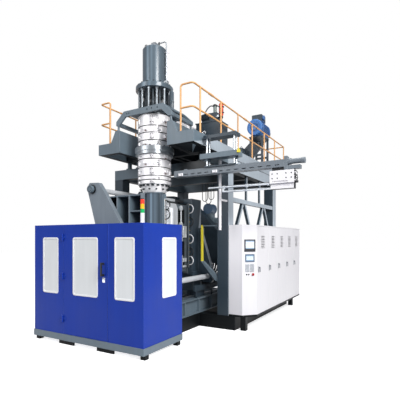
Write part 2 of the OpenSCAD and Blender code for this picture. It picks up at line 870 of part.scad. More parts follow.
// Ram: piston, rod, crosshead and four push rods that drive the ring piston in the head
module ram_rod() {
  color(steel) {
    rotate_extrude() polygon([
      [0, crosshead_z], [push_circle_r + 60, crosshead_z], [push_circle_r + 60, crosshead_z + 70],
      [ram_rod_r + 55, crosshead_z + 70], [ram_rod_r + 55, crosshead_z + 150],
      [ram_rod_r, crosshead_z + 150], [ram_rod_r, piston_z], [piston_r, piston_z],
      [piston_r, piston_z + 120], [0, piston_z + 120]]);
    for (a = [45:90:315]) {
      rotate([0, 0, a]) translate([push_circle_r, 0, head_top - 200])
        cylinder(h = crosshead_z - head_top + 200, d = push_rod_d);
    }
  }
}

// Tie rods between the yoke and the cylinder flange, each with two collars
module cage_rods() {
  color(steel) for (i = [0:cage_rods_n - 1]) {
    rotate([0, 0, (i + 0.5) * 360 / cage_rods_n]) translate([cage_circle_r, 0, yoke_top]) {
      cylinder(h = cyl_flange_z - yoke_top, d = cage_rod_d);
      cylinder(h = 40, d = cage_rod_d + 24, $fn = 6);
      translate([0, 0, cyl_flange_z - yoke_top - 40]) cylinder(h = 40, d = cage_rod_d + 24, $fn = 6);
    }
  }
}

// Hexagon head of a bolt that lies on a level face
module bolt_head(across, h) {
  cylinder(h = h, d = across / cos(30), $fn = 6);
}

// Bolts of the cylinder flange, the head flange and the die, and the lifting eyes on the cap
module head_bolts() {
  color(dark_paint) {
    for (i = [0:15]) {
      rotate([0, 0, (i + 0.5) * 22.5]) translate([cyl_flange_r - 60, 0, cyl_base_z]) bolt_head(44, 30);
      rotate([0, 0, i * 22.5]) translate([head_flange_r - 36, 0, head_flange_z + head_flange_t])
        bolt_head(36, 24);
    }
    for (i = [0:11]) {
      rotate([0, 0, i * 30]) translate([(die_r + die_bore_r) / 2 + 20, 0, head_bottom - die_h - 20])
        bolt_head(36, 20);
    }
    for (a = [100, 220, 340]) {
      rotate([0, 0, a]) translate([ram_cyl_r - 90, 0, cyl_top_z]) {
        cylinder(h = 30, d = 44);
        translate([0, 0, 62]) rotate([90, 0, 0]) rotate_extrude() translate([34, 0]) circle(d = 18);
      }
    }
  }
}

// Oil line from the valve on the cap, over the edge and down to the flange
module oil_pipe() {
  r = 60;
  x = ram_cyl_r + 58;
  z = cyl_top_z + 110;
  d = 26;
  color(steel) {
    translate([0, 0, cyl_top_z]) cylinder(h = 70, r = 85);
    block([-55, -55, cyl_top_z + 70], [55, 55, cyl_top_z + 150]);
    bar([55, 0, z], [x - r, 0, z], d);
    translate([x - r, 0, z - r]) rotate([90, 0, 0]) rotate_extrude(angle = 90) translate([r, 0]) circle(d = d);
    bar([x, 0, cyl_base_z + 90], [x, 0, z - r], d);
    block([x - 40, -40, cyl_base_z], [x + 40, 40, cyl_base_z + 90]);
  }
}

// Extruder barrel: front flange, bored tube, feed block and rear flange
module extruder_barrel() {
  length = gearbox_y - port_y;
  bore_r = screw_d / 2 + screw_gap;
  color(steel) difference() {
    union() {
      translate([0, port_y, screw_z]) rotate([-90, 0, 0]) {
        cylinder(h = 60, r = barrel_r + 45);
        cylinder(h = length, r = barrel_r);
        translate([0, 0, length - 60]) cylinder(h = 60, r = barrel_r + 60);
      }
      block([-150, gearbox_y - 460, screw_z - 150], [150, gearbox_y - 100, screw_z + 150]);
      block([-110, gearbox_y - 380, deck_top + floor_t], [110, gearbox_y - 180, screw_z - 150]);
      block([-90, cover_front_y + 120, deck_top + floor_t], [90, cover_front_y + 220, screw_z - barrel_r + 12]);
    }
    translate([0, port_y - cut, screw_z]) rotate([-90, 0, 0]) cylinder(h = length + 2 * cut, r = bore_r);
    translate([0, gearbox_y - 280, screw_z]) cylinder(h = 200, r = 55);
  }
}

// Extruder screw: a core with a helical flight, a tip and a drive shank
module extruder_screw() {
  root_r = screw_d / 2 - 14;
  flight_end = gearbox_y - 420;
  start = port_y + 120;
  turns = (flight_end - start) / screw_d;
  color(steel) {
    translate([0, start, screw_z]) rotate([-90, 0, 0]) {
      cylinder(h = flight_end - start, r = root_r);
      translate([0, 0, flight_end - start]) cylinder(h = gearbox_y - flight_end - 2, r = screw_d / 2 - 4);
      translate([0, 0, -60]) cylinder(h = 60, r1 = 4, r2 = root_r, $fn = 24);
      linear_extrude(flight_end - start, twist = -360 * turns, slices = round(turns * 6), $fn = 4)
        translate([root_r - 3, -7]) square([screw_d / 2 - root_r + 3, 14]);
    }
  }
}

// Folded cover over the barrel: two walls, a crowned roof and end plates with the barrel hole
module barrel_cover() {
  w = cover_half_w;
  top = screw_z + cover_rise;
  rear = gearbox_y - 480;
  sheet = 6;
  color(white_paint) difference() {
    profile_y(cover_front_y, rear - cover_front_y) cover_outline(w, top, 0);
    profile_y(cover_front_y + sheet, rear - cover_front_y - 2 * sheet) cover_outline(w, top, sheet);
    translate([0, cover_front_y - cut, screw_z]) rotate([-90, 0, 0])
      cylinder(h = rear - cover_front_y + 2 * cut, r = barrel_r + 15);
    for (i = [0:4], side = [-1, 1]) {
      translate([side * w, cover_front_y + 380 + i * 560, screw_z + 40])
        rotate([0, 90, 0]) for (j = [0:4]) {
          translate([-j * 34, 0, -20]) block([0, 0, 0], [14, 260, 40]);
        }
    }
  }
}

// Outline of the barrel cover, t inside its outer face, open at the floor
module cover_outline(w, top, t) {
  low = deck_top + floor_t - (t > 0 ? cut : 0);
  polygon([[-w + t, low], [w - t, low], [w - t, top - 120 - t / 2], [w - 120 - t / 2, top - t],
             [t / 2 + 120 - w, top - t], [t - w, top - 120 - t / 2]]);
}

// Gearbox with split flange, ribs and bearing covers, and the stand of the motor beside it
module gearbox() {
  floor_z = deck_top + floor_t;
  motor_front = gearbox_y + 20;
  color(dark_paint) {
    difference() {
      block([-gear_half_w, gearbox_y, floor_z + 40], [gear_half_w, gearbox_y + gearbox_l, floor_z + gearbox_h]);
      translate([0, gearbox_y - cut, screw_z]) rotate([-90, 0, 0]) cylinder(h = 60, r = screw_d / 2 + 10);
    }
    block([-gear_half_w - 60, gearbox_y, floor_z], [gear_half_w + 60, gearbox_y + gearbox_l, floor_z + 40]);
    for (y = [gearbox_y + 90:170:gearbox_y + gearbox_l - 60], side = [-1, 1]) {
      block([side > 0 ? gear_half_w : -gear_half_w - 34, y, floor_z + 40],
                  [side > 0 ? gear_half_w + 34 : -gear_half_w, y + 24, floor_z + gearbox_h - 90]);
    }
    translate([0, gearbox_y + gearbox_l / 2, floor_z + gearbox_h]) cylinder(h = 30, r = 120);
    for (x = [motor_x - 230, motor_x + 170]) {
      block([x, motor_front + 60, floor_z], [x + 60, motor_front + 120, motor_foot_z]);
      block([x, motor_front + motor_l - 200, floor_z], [x + 60, motor_front + motor_l - 140, motor_foot_z]);
    }
    block([motor_x - 240, motor_front + 40, motor_foot_z - 10], [motor_x + 240, motor_front + motor_l - 120, motor_foot_z + 20]);
    block([motor_x - 170, motor_front + 60, floor_z + 480], [motor_x + 170, motor_front + 120, floor_z + 540]);
    block([motor_x - 170, motor_front + motor_l - 200, floor_z + 480], [motor_x + 170, motor_front + motor_l - 140, floor_z + 540]);
  }
}

// Drive motor: finned housing with end bells, feet, and a blower box on top
module drive_motor() {
  front = gearbox_y - 10;
  color("#5B7CCB") {
    translate([motor_x, front, motor_z]) rotate([-90, 0, 0]) {
      cylinder(h = 50, r = motor_r - 40);
      translate([0, 0, 50]) cylinder(h = 70, r = motor_r);
      translate([0, 0, 120]) cylinder(h = motor_l - 240, r = motor_r - 22);
      translate([0, 0, motor_l - 120]) cylinder(h = 80, r = motor_r);
      translate([0, 0, motor_l - 40]) cylinder(h = belt_y - front - motor_l + 40, r = 45);
    }
    for (a = [-60:12:240]) {
      translate([motor_x, front + 120, motor_z]) rotate([-90, a, 0])
        translate([motor_r - 26, -4, 0]) cube([24, 8, motor_l - 240]);
    }
    for (x = [motor_x - 200, motor_x + 130]) {
      block([x, front + 140, motor_foot_z + 20], [x + 70, front + motor_l - 140, motor_z - motor_r + 60]);
    }
  }
  color(dark_paint) {
    block([motor_x - 170, front + 150, motor_z + motor_r - 30],
              [motor_x + 170, front + motor_l - 260, motor_z + motor_r + 190]);
    translate([motor_x, front + 240, motor_z + motor_r + 80]) rotate([0, 90, 0]) cylinder(h = 235, r = 75);
  }
}

// Belt guard from the motor shaft down to the gearbox input
module belt_guard() {
  run = [motor_x, motor_z] - [0, gear_input_z];
  angle = atan2(run[1], run[0]);
  lean = asin((belt_gear_r - belt_motor_r) / norm(run));
  // The straight sides start a little inside the two round ends, so that they meet them at an angle
  gear_side = (belt_gear_r - 4) * [sin(lean), cos(lean)];
  motor_side = (belt_motor_r - 4) * [sin(lean), cos(lean)] + [norm(run), 0];
  color(dark_paint) difference() {
    profile_y(belt_y, belt_t) {
      translate([0, gear_input_z]) circle(r = belt_gear_r);
      translate([motor_x, motor_z]) circle(r = belt_motor_r);
      translate([0, gear_input_z]) rotate(angle) polygon([
        [gear_side[0], -gear_side[1]], [motor_side[0], -motor_side[1]], motor_side, gear_side]);
    }
    profile_y(belt_y + belt_t - 12, 12 + cut) {
      translate([0, gear_input_z]) circle(r = belt_gear_r / 2);
      translate([motor_x, motor_z]) circle(r = belt_motor_r / 2);
    }
  }
  color(dark_paint) translate([0, gearbox_y + gearbox_l, gear_input_z]) rotate([-90, 0, 0])
    cylinder(h = belt_y - gearbox_y - gearbox_l, r = 70);
}

// Right side of the oil tank
tank_right = deck_half_w - post_inset - 80;

// Oil tank with a flanged lid, a level window and feet
module oil_tank() {
  x = tank_right;
  floor_z = deck_top + floor_t;
  color(dark_paint) {
    block([x - tank_w, tank_y, floor_z + 20], [x, tank_y + tank_l, floor_z + tank_h - 20]);
    block([x - tank_w - 15, tank_y - 15, floor_z + tank_h - 20], [x + 15, tank_y + tank_l + 15, floor_z + tank_h]);
    for (y = [tank_y + 30, tank_y + tank_l - 90], sx = [x - tank_w + 20, x - 80]) {
      block([sx, y, floor_z], [sx + 60, y + 60, floor_z + 20]);
    }
    block([x, tank_y + 180, floor_z + 120], [x + 12, tank_y + 220, floor_z + 380]);
  }
}

// Pump with its lying motor, a valve block and the upright pressure filter on the tank lid
module pump_unit() {
  x = tank_right - tank_w / 2;
  y = tank_y + 110;
  z = deck_top + floor_t + tank_h;
  color(grey_paint) {
    block([x - 190, y - 60, z], [x + 60, y + 60, z + 60]);
    translate([x - 200, y, z + 140]) rotate([0, 90, 0]) {
      cylinder(h = 20, r = 92);
      cylinder(h = 250, r = 84);
      translate([0, 0, 250]) cylinder(h = 30, r = 60);
    }
    block([x + 30, y - 80, z], [x + 230, y + 100, z + 210]);
    for (i = [0:2]) {
      block([x + 230 - cut, y - 70 + i * 60, z + 90], [x + 300, y - 25 + i * 60, z + 140]);
    }
    translate([x + 158, y - 20, z + 210]) {
      cylinder(h = 150, r = 43);
      translate([0, 0, 150]) cylinder(h = 45, r = 52);
      translate([0, 0, 195]) cylinder(h = 16, r = 30);
    }
  }
}

// Gas accumulator bottle held upright over the tank by its stand
module accumulator_bottle() {
  x = tank_right - bottle_d / 2 - 70;
  y = tank_y + tank_l - bottle_d / 2 - 50;
  z = deck_top + floor_t + tank_h;
  r = bottle_d / 2;
  stand = 190;
  color(dark_paint) translate([x, y, z]) {
    cylinder(h = 12, r = r + 24);
    cylinder(h = stand + 20, r = r * 0.5);
  }
  color("#E4572E") translate([x, y, z + stand]) {
    translate([0, 0, r]) {
      sphere(r = r);
      cylinder(h = bottle_h - 2 * r, r = r);
      translate([0, 0, bottle_h - 2 * r]) sphere(r = r);
    }
    translate([0, 0, bottle_h - 2]) cylinder(h = 26, r = r * 0.35);
  }
}

// Diagonal plate seen from the front: one lobe up to the left tie bar, one down to the right
module arm_outline() {
  lobe = [
    [-tie_bar_x - 137, tie_high_z - 72], [-tie_bar_x - 137, tie_high_z + 90],
    [-tie_bar_x - 88, tie_high_z + 150], [183 - tie_bar_x, tie_high_z + 136],
    [435 - tie_bar_x, tie_high_z - 199], [-120, arm_mid_z + 150],
    [platen_half_w + 90, arm_mid_z + 150], [platen_half_w + 90, arm_mid_z]];
  polygon(concat(lobe, [for (p = lobe) [-p[0], 2 * arm_mid_z - p[1]]]));
}

// Places of the two tie bars, seen from the front
tie_places = [[-tie_bar_x, tie_high_z], [tie_bar_x, tie_low_z]];

// A diagonal plate from y backwards with a bore for each tie bar
module arm_plate(y, t, bore_d) {
  difference() {
    profile_y(y, t) arm_outline();
    for (p = tie_places) {
      translate([p[0], y - cut, p[1]]) rotate([-90, 0, 0]) cylinder(h = t + 2 * cut, d = bore_d);
    }
  }
}

// Platen foot from the mould plate down to its shoes, seen from the side, and the shoes
module platen_foot(y, l) {
  both_sides() profile_x(rail_x - 40, 60) polygon([
    [y, platen_bottom + 60], [y, platen_bottom - 60], [y + 60, shoe_z + 90], [y + l - 60, shoe_z + 90],
    [y + l, platen_bottom - 60], [y + l, platen_bottom + 60]]);
  shoes(y + 20, l - 40, shoe_z + 90);
}

// Left edge of the solid strip beside the platen column
column_left = 285;

// Front platen column: its centre line and radius
column_at = [545, -725];
column_r = 172;

// Ribbed platen whose mould plate ends at y = -mould_depth and reaches x = right
module ribbed_plate(right) {
  back = -mould_depth - platen_depth;
  web = -mould_depth - platen_t;
  half_rib = platen_top - 363;
  block([-platen_half_w, web, platen_bottom], [right, -mould_depth, platen_top]);
  for (x = [-platen_half_w, -380, -40]) {
    block([x, back, platen_bottom], [x + rib_t, web, platen_top]);
  }
  for (z = [platen_bottom, platen_top - 1340, platen_top - 840, platen_top - rib_t]) {
    block([-platen_half_w, back + 15, z], [column_left, web, z + rib_t]);
  }
  block([rib_t - 40, back + 15, half_rib], [column_left, web, half_rib + rib_t]);
  block([column_left, back, platen_bottom], [column_left + 115, web, platen_top]);
  block([-rail_x + 20, -mould_depth - 90, shoe_z + 90], [rail_x - 40, -mould_depth - 50, platen_bottom]);
}

// Front platen: mould plate, ribs, round column, diagonal plate and feet
module front_platen() {
  back = -mould_depth - platen_depth;
  web = -mould_depth - platen_t;
  color(grey_paint) {
    ribbed_plate(column_at[0] + 95);
    arm_plate(front_face_y, arm_t, tie_bar_d + 2 * seat);
    translate([column_at[0], column_at[1], platen_bottom]) cylinder(h = platen_top - platen_bottom, r = column_r);
    block([column_at[0] - 80, column_at[1] + 100, platen_bottom], [column_at[0] + 80, web, platen_top]);
    translate([0, 0, platen_top]) linear_extrude(18) union() {
      translate(column_at) circle(r = column_r + 12);
      translate([column_left - 15, back]) square([column_at[0] - column_left + 110, platen_depth]);
    }
    platen_foot(back - 60, platen_depth + 40);
  }
}

// Rear platen: the same mould plate and ribs turned to the front, guided on the tie bars, with the clamp rod
module rear_platen() {
  color(dark_paint) {
    difference() {
      union() {
        mirror([0, 1, 0]) {
          ribbed_plate(platen_half_w);
          block([column_left, -mould_depth - platen_depth, platen_bottom],
                          [platen_half_w, -mould_depth - platen_t, platen_top]);
        }
        arm_plate(rear_face_y - arm_t, arm_t, tie_bar_d + 2 * tie_gap);
        for (p = tie_places) {
          translate([p[0], rear_face_y, p[1]]) rotate([-90, 0, 0]) cylinder(h = 90, d = tie_bar_d + 90);
        }
      }
      for (p = tie_places) {
        translate([p[0], mould_depth, p[1]]) rotate([-90, 0, 0])
          cylinder(h = platen_depth + 200, d = tie_bar_d + 2 * tie_gap);
      }
    }
    mirror([0, 1, 0]) platen_foot(-rear_face_y - 20, platen_depth + 20);
  }
  color(steel) translate([0, rear_face_y, arm_mid_z]) rotate([-90, 0, 0]) {
    cylinder(h = 60, d = clamp_rod_d + 140);
    cylinder(h = rod_piston_y - rear_face_y, d = clamp_rod_d);
    translate([0, 0, rod_piston_y - rear_face_y]) cylinder(h = rod_piston_t, d = clamp_piston_d);
  }
}

// Two tie bars with a nut at each end
module tie_bars() {
  rear = pull_y + pull_t;
  color(bright_steel) for (p = tie_places) {
    translate([p[0], front_face_y - nut_h, p[1]]) rotate([-90, 0, 0]) {
      cylinder(h = rear - front_face_y + 2 * nut_h, d = tie_bar_d);
      cylinder(h = nut_h - 25, r = nut_r);
      translate([0, 0, nut_h - 25]) cylinder(h = 25, r = nut_r + 20);
      translate([0, 0, rear - front_face_y + nut_h]) cylinder(h = nut_h, r = nut_r);
    }
  }
}

// Pull plate seen from the front: broader than the front plate, with a flat top and bottom
module pull_outline() {
  lobe = [
    [-tie_bar_x - 137, tie_high_z - 72], [-tie_bar_x - 137, tie_high_z + 90],
    [-tie_bar_x - 88, tie_high_z + 150], [183 - tie_bar_x, tie_high_z + 136],
    [435 - tie_bar_x, platen_top - 50], [-50, platen_top - 60], [439, arm_mid_z + 286], [860, arm_mid_z - 115]];
  polygon(concat(lobe, [for (p = lobe) [-p[0], 2 * arm_mid_z - p[1]]]));
}

// Rear pull plate with the tie bar bores, the rod bore and feet
module pull_plate() {
  color(dark_paint) difference() {
    union() {
      profile_y(pull_y, pull_t) pull_outline();
      both_sides() profile_x(rail_x - 40, 60) polygon([
        [pull_y, arm_mid_z - 400], [pull_y, shoe_z + 60], [pull_y + pull_t, shoe_z + 60],
        [pull_y + pull_t, arm_mid_z - 400]]);
      shoes(pull_y - 60, pull_t + 120, shoe_z + 90);
    }
    translate([0, pull_y - cut, arm_mid_z]) rotate([-90, 0, 0])
      cylinder(h = pull_t + 2 * cut, d = clamp_rod_d + 2 * clamp_rod_gap);
    for (p = tie_places) {
      translate([p[0], pull_y - cut, p[1]]) rotate([-90, 0, 0])
        cylinder(h = pull_t + 2 * cut, d = tie_bar_d + 2 * seat);
    }
  }
}

// Clamp cylinder behind the pull plate, bored for rod and piston, with its valve block and motor on top
module clamp_cylinder() {
  start = pull_y + pull_t;
  bore = clamp_piston_d / 2 + clamp_rod_gap;
  rod = clamp_rod_d / 2 + clamp_rod_gap;
  length = rod_piston_y - start + rod_piston_t + 2 * clamp_travel + 60;
  block_top = arm_mid_z + 620;
  color(grey_paint) {
    translate([0, start, arm_mid_z]) rotate([-90, 0, 0]) rotate_extrude() polygon([
      [rod, 0], [clamp_cyl_d / 2 + 70, 0], [clamp_cyl_d / 2 + 70, 50], [clamp_cyl_d / 2, 50],
      [clamp_cyl_d / 2, length - 30], [clamp_cyl_d / 2 + 25, length - 30], [clamp_cyl_d / 2 + 25, length + 40],
      [0, length + 40], [0, length], [bore, length], [bore, 50], [rod, 50]]);
    block([-40, start + 60, arm_mid_z + clamp_cyl_d / 2 - 60], [330, start + 330, arm_mid_z + 500]);
    block([20, start + 90, arm_mid_z + 500 - cut], [250, start + 300, block_top]);
    block([330 - cut, start + 80, arm_mid_z + 330], [430, start + 240, arm_mid_z + 460]);
  }
  color("#5B7CCB") translate([130, start + 80, block_top + 130]) rotate([-90, 0, 0]) {
    cylinder(h = 60, r = 152);
    cylinder(h = 270, r = 136);
    translate([0, 0, 270]) cylinder(h = 20, r = 152);
  }
}

// Drum cavity with its rolling hoops, as a turned outline
module cavity(grow) {
  z = cavity_z;
  hoop = cavity_h / 3;
  rotate_extrude() polygon([
    [0, z], [cavity_r - 30, z], [cavity_r, z + 30], [cavity_r, z + hoop - 20], [cavity_r + 14, z + hoop],
    [cavity_r, z + hoop + 20], [cavity_r, z + 2 * hoop - 20], [cavity_r + 14, z + 2 * hoop],
    [cavity_r, z + 2 * hoop + 20], [cavity_r, z + cavity_h - 60], [cavity_r - 40, z + cavity_h], [0, z + cavity_h]]);
  translate([0, 0, mould_bottom - cut]) cylinder(h = cavity_z - mould_bottom + 2 * cut, r = blow_pin_d / 2 + 15);
  translate([0, 0, cavity_z + cavity_h - cut]) cylinder(h = mould_top + 200 - cavity_z - cavity_h, r = 45);
}

// One mould half in front of the parting face, with backing plate, neck, top plate and ring half
module mould_half() {
  difference() {
    union() {
      block([-mould_half_w, 30 - mould_depth, mould_bottom], [mould_half_w, -seat / 2, mould_top]);
      block([-mould_half_w - 40, -mould_depth, mould_bottom - 50], [mould_half_w + 40, 30 - mould_depth, mould_top + 40]);
      block([-mould_half_w + 110, 120 - mould_depth, mould_top], [mould_half_w - 110, -seat / 2, mould_top + 50]);
      block([-mould_half_w + 30, 70 - mould_depth, mould_top + 50], [mould_half_w - 30, -seat / 2, mould_top + 105]);
      intersection() {
        translate([0, 0, mould_top + 105]) cylinder(h = 35, r = 215);
        block([-300, -300, mould_top], [300, -seat / 2, mould_top + 200]);
      }
    }
    cavity();
    for (side = [-1, 1], z = [mould_bottom + 790, mould_bottom + 1000]) {
      block([side * mould_half_w - 15, 90 - mould_depth, z], [side * mould_half_w + 15, cut, z + 22]);
    }
  }
}

// Guide pin places at the corners of the parting face
guide_places = [for (x = [60 - mould_half_w, mould_half_w - 60], z = [mould_bottom + 70, mould_top - 70]) [x, z]];

module front_mould() {
  color(bright_steel) {
    mould_half();
    for (side = [-1, 1]) {
      translate([side * mould_half_w, -mould_depth / 2, mould_bottom + 60]) cylinder(h = mould_h - 170, r = 88);
    }
    for (p = guide_places) {
      translate([p[0], -20, p[1]]) rotate([-90, 0, 0]) {
        cylinder(h = 90, d = guide_pin_d);
        translate([0, 0, 90]) cylinder(h = 14, d1 = guide_pin_d, d2 = guide_pin_d - 14);
      }
    }
  }
}

module rear_mould() {
  color(bright_steel) difference() {
    mirror([0, 1, 0]) mould_half();
    for (side = [-1, 1], z = [[145, 215], [345, 695], [1100, 1430]]) {
      block([side * mould_half_w - 60, 70, mould_bottom + z[0]], [side * mould_half_w + 60, mould_depth - 90, mould_bottom + z[1]]);
    }
    for (p = guide_places) {
      translate([p[0], -cut, p[1]]) rotate([-90, 0, 0]) cylinder(h = 120, d = guide_pin_d + 2);
    }
  }
}

// Blow unit under the mould: pedestal and bored housing on the base cross beam
module blow_unit() {
  top = mould_bottom - 200;
  color(dark_paint) {
    block([-220, -skid_beam_w / 2 + 5, skid_h], [220, skid_beam_w / 2 - 5, skid_h + 60]);
    difference() {
      block([-130, -70, skid_h + 60], [130, 70, top - 260]);
      translate([0, 0, blow_pin_z]) cylinder(h = top, d = blow_pin_d + 2);
    }
    difference() {
      translate([0, 0, top - 260]) {
        cylinder(h = 260, d = blow_pin_d + 110);
        translate([0, 0, 220]) cylinder(h = 40, d = blow_pin_d + 170);
      }
      translate([0, 0, blow_pin_z]) cylinder(h = top, d = blow_pin_d + 2);
    }
  }
}

// Blow pin with its stepped tip
module blow_pin() {
  color(bright_steel) translate([0, 0, blow_pin_z + 2]) {
    cylinder(h = mould_bottom - blow_pin_z - 70, d = blow_pin_d);
    translate([0, 0, mould_bottom - blow_pin_z - 70]) cylinder(h = 40, d1 = blow_pin_d - 8, d2 = blow_pin_d - 30);
  }
}

// Robot beam with face slots, rails on its front and the drive at its right end
module robot_beam() {
  y0 = -robot_y - robot_d / 2;
  top = robot_z + robot_h;
  color(grey_paint) {
    difference() {
      block([robot_left_x, y0, robot_z], [robot_right_x, y0 + robot_d, top]);
      for (x = [robot_left_x + 90:beam_slot_pitch:robot_right_x - 120]) {
        block([x, y0 - cut, robot_z + 34], [x + beam_slot_pitch * 0.55, y0 + 30, robot_z + 52]);
      }
    }
    block([robot_right_x, y0 + 10, robot_z - 60], [robot_right_x + 60, y0 + robot_d - 10, top + 60]);
    translate([robot_right_x + 60, -robot_y, top - 40]) rotate([0, 90, 0]) {
      cylinder(h = 60, r = 62);
      translate([0, 0, 60]) cylinder(h = 200, r = 50);
      translate([0, 0, 260]) cylinder(h = 60, r = 56);
    }
    block([robot_right_x + 60, y0 + 20, robot_z - 50], [robot_right_x + 300, y0 + robot_d - 20, robot_z + 20]);
    for (x = [robot_left_x + 240, lift_right_x + 90]) {
      block([x, y0 + 40, top], [x + 70, y0 + 100, top + 28]);
    }
  }
}

// Guide rod places of the robot lift, seen from above
lift_places = [for (x = [lift_left_x + 40, lift_right_x - 40], y = [-robot_y - 60, -robot_y + 60]) [x, y]];

// Lift frame: foot plate on the beam, four guide rods and the top plate
module lift_frame() {
  foot = robot_z + robot_h;
  color(bright_steel) for (p = lift_places) {
    translate([p[0], p[1], foot + 30]) cylinder(h = lift_top_z - foot - 30, d = lift_rod_d);
  }
  color(dark_paint) {
    block([lift_left_x, -robot_y - 110, foot], [lift_right_x, -robot_y + 110, foot + 30]);
    block([lift_left_x - 20, -robot_y - 115, lift_top_z], [lift_right_x + 20, -robot_y + 115, lift_top_z + 70]);
  }
}

// Guide head bolted to the lower frame, and the white guide post tied to the tower column
module robot_bracket() {
  back = -robot_y + 125;
  color(grey_paint) difference() {
    union() {
      block([lift_left_x - 100, -robot_y - 125, guide_head_z], [lift_right_x + 60, back, guide_head_z + guide_head_h]);
      block([lift_left_x - 100, back, guide_head_z], [tower_out_x, tower_front_y, guide_head_z + guide_head_h]);
      for (p = lift_places) {
        translate([p[0], p[1], guide_head_z - 40]) cylinder(h = 40, d = lift_rod_d + 30);
      }
    }
    for (p = lift_places) {
      translate([p[0], p[1], guide_head_z - 50]) cylinder(h = guide_head_h + 60, d = lift_rod_d + 2);
    }
    block([lift_left_x, back + 60, guide_head_z + 20], [tower_out_x - 100, tower_front_y - 60, guide_head_z + guide_head_h + cut]);
  }
  color(white_paint) {
    translate([tower_out_x - 40, back + 55, post_low_z]) cylinder(h = guide_head_z - post_low_z, d = 60);
    block([tower_out_x - 60, back + 55, truss_top - 130], [tower_out_x - 20, tower_front_y, truss_top - 90]);
  }
}

// Take-out arm: carriage plate in front of the beam, roller block and two arm rods
module take_out_arm() {
  x1 = robot_right_x + 200;
  x0 = x1 - carriage_l;
  y0 = -robot_y - robot_d / 2;
  low = arm_rod_z - 125;
  rod_gap = 95;
  color(white_paint) {
    difference() {
      block([x0, y0 - 34, robot_z - 310], [x1, y0 - seat, robot_z - 70]);
      for (x = [x0 + 50, x0 + 150, x1 - 150, x1 - 50], z = [robot_z - 130, robot_z - 215]) {
        translate([x, y0 - 40, z]) rotate([-90, 0, 0]) cylinder(h = 20, d = 26);
      }
      block([x0 + 60, y0 - 40, robot_z - 290], [x1 - 120, y0 - 15, robot_z - 268]);
    }
    difference() {
      block([x0 + 10, y0 - seat, low], [x1 - 10, -robot_y + 60, robot_z - 62]);
      block([x0 + 60, y0 + 30, low + 160], [x1 - 60, -robot_y + 70, robot_z - 110]);
    }
    for (x = [x0 + 25, x0 + 145]) {
      block([x, -robot_y - 35, robot_z - 63], [x + 100, -robot_y + 35, robot_z - seat]);
    }
  }
  color(bright_steel) {
    bar([arm_tip_x, -robot_y, arm_rod_z], [x0 + 12, -robot_y, arm_rod_z], arm_rod_d);
    bar([arm_tip_x + 330, -robot_y, arm_rod_z - rod_gap], [x0 + 12, -robot_y, arm_rod_z - rod_gap], arm_rod_d - 6);
    block([arm_tip_x + 330, -robot_y - 20, arm_rod_z - rod_gap], [arm_tip_x + 360, -robot_y + 20, arm_rod_z]);
    translate([x1 - 12, -robot_y, arm_rod_z]) rotate([0, 90, 0]) cylinder(h = 60, d = arm_rod_d);
  }
}

// Light barrier post with its upper arm and lower stay to the right tower column
module light_curtain() {
  color("#F2DE2E") block([barrier_x - 22, tower_front_y + 28, barrier_low_z], [barrier_x + 22, tower_front_y + 72, barrier_top_z]);
  color(grey_paint) {
    block([barrier_x + 22, tower_front_y + 36, barrier_top_z - 30], [tower_in_x, tower_front_y + 64, barrier_top_z - 4]);
    profile_y(tower_front_y + 20, 60) polygon([
      [barrier_x - 22, barrier_low_z], [barrier_x + 50, barrier_low_z], [tower_in_x, barrier_low_z - 330],
      [tower_in_x, barrier_low_z - 440], [tower_in_x - 60, barrier_low_z - 440]]);
  }
}

// Guard base: channel round three sides on feet, tied to the machine base
module guard_base() {
  proud = 12;
  w = guard_half_w + proud;
  color(grey_paint) {
    difference() {
      block([-w, guard_front_y - proud, guard_foot_h], [w, -guard_back, panel_z]);
      block([-w + 80, guard_front_y + 80, guard_foot_h - cut], [w - 80, -guard_back + cut, panel_z + cut]);
    }
    both_sides() {
      block([skid_half_w, -guard_back - 120, guard_foot_h], [w - 80, -guard_back - 40, guard_foot_h + 80]);
      for (y = [guard_front_y + 40, -guard_back - 160]) {
        block([w - 110, y, 0], [w - 10, y + 100, guard_foot_h]);
      }
      block([300, guard_front_y + 30, 0], [700, guard_front_y + 60, guard_foot_h]);
    }
  }
}

// A window opening cut through a panel, in the plane of the panel
module window_cut(w) {
  round_rect(w - 2 * window_lip, window_h - 2 * window_lip, window_r - window_lip / 2);
}

// A pane in its frame, drawn flat: the frame stands proud of the panel and the pane fills the cut
module window_unit(w) {
  linear_extrude(window_proud) difference() {
    round_rect(w, window_h, window_r);
    round_rect(w - 4 * window_lip, window_h - 4 * window_lip, window_r - window_lip);
  }
  translate([0, 0, -pane_t]) linear_extrude(pane_t)
    round_rect(w - 2 * window_lip - 2 * seat, window_h - 2 * window_lip - 2 * seat, window_r - window_lip / 2);
}

// Places a flat drawing on the front face of the guard, facing forward
module on_guard_front(x) {
  translate([x, guard_front_y, window_z + window_h / 2]) rotate([90, 0, 0]) children();
}

// Places a flat drawing on the right side of the guard, facing right
module on_guard_side() {
  translate([guard_half_w, -side_window_y, window_z + window_h / 2]) rotate([90, 0, 90]) children();
}

// Hinge places of the guard door above the panel foot
hinge_places = [230, guard_panel_h / 2, guard_panel_h - 300];

// One corner panel of the guard seen from above: front sheet, side sheet and a rear fold
module corner_panel(inner_x) {
  difference() {
    translate([0, 0, panel_z]) linear_extrude(guard_panel_h) polygon([
      [inner_x, guard_front_y], [guard_half_w, guard_front_y], [guard_half_w, -guard_back],
      [guard_half_w - 80, -guard_back], [guard_half_w - 80, -guard_back - 30],
      [guard_half_w - guard_sheet, -guard_back - 30],
      [guard_half_w - guard_sheet, guard_front_y + guard_sheet], [inner_x, guard_front_y + guard_sheet]]);
    on_guard_side() translate([0, 0, -guard_sheet - cut]) linear_extrude(guard_sheet + 2 * cut) window_cut(window_w);
  }
}

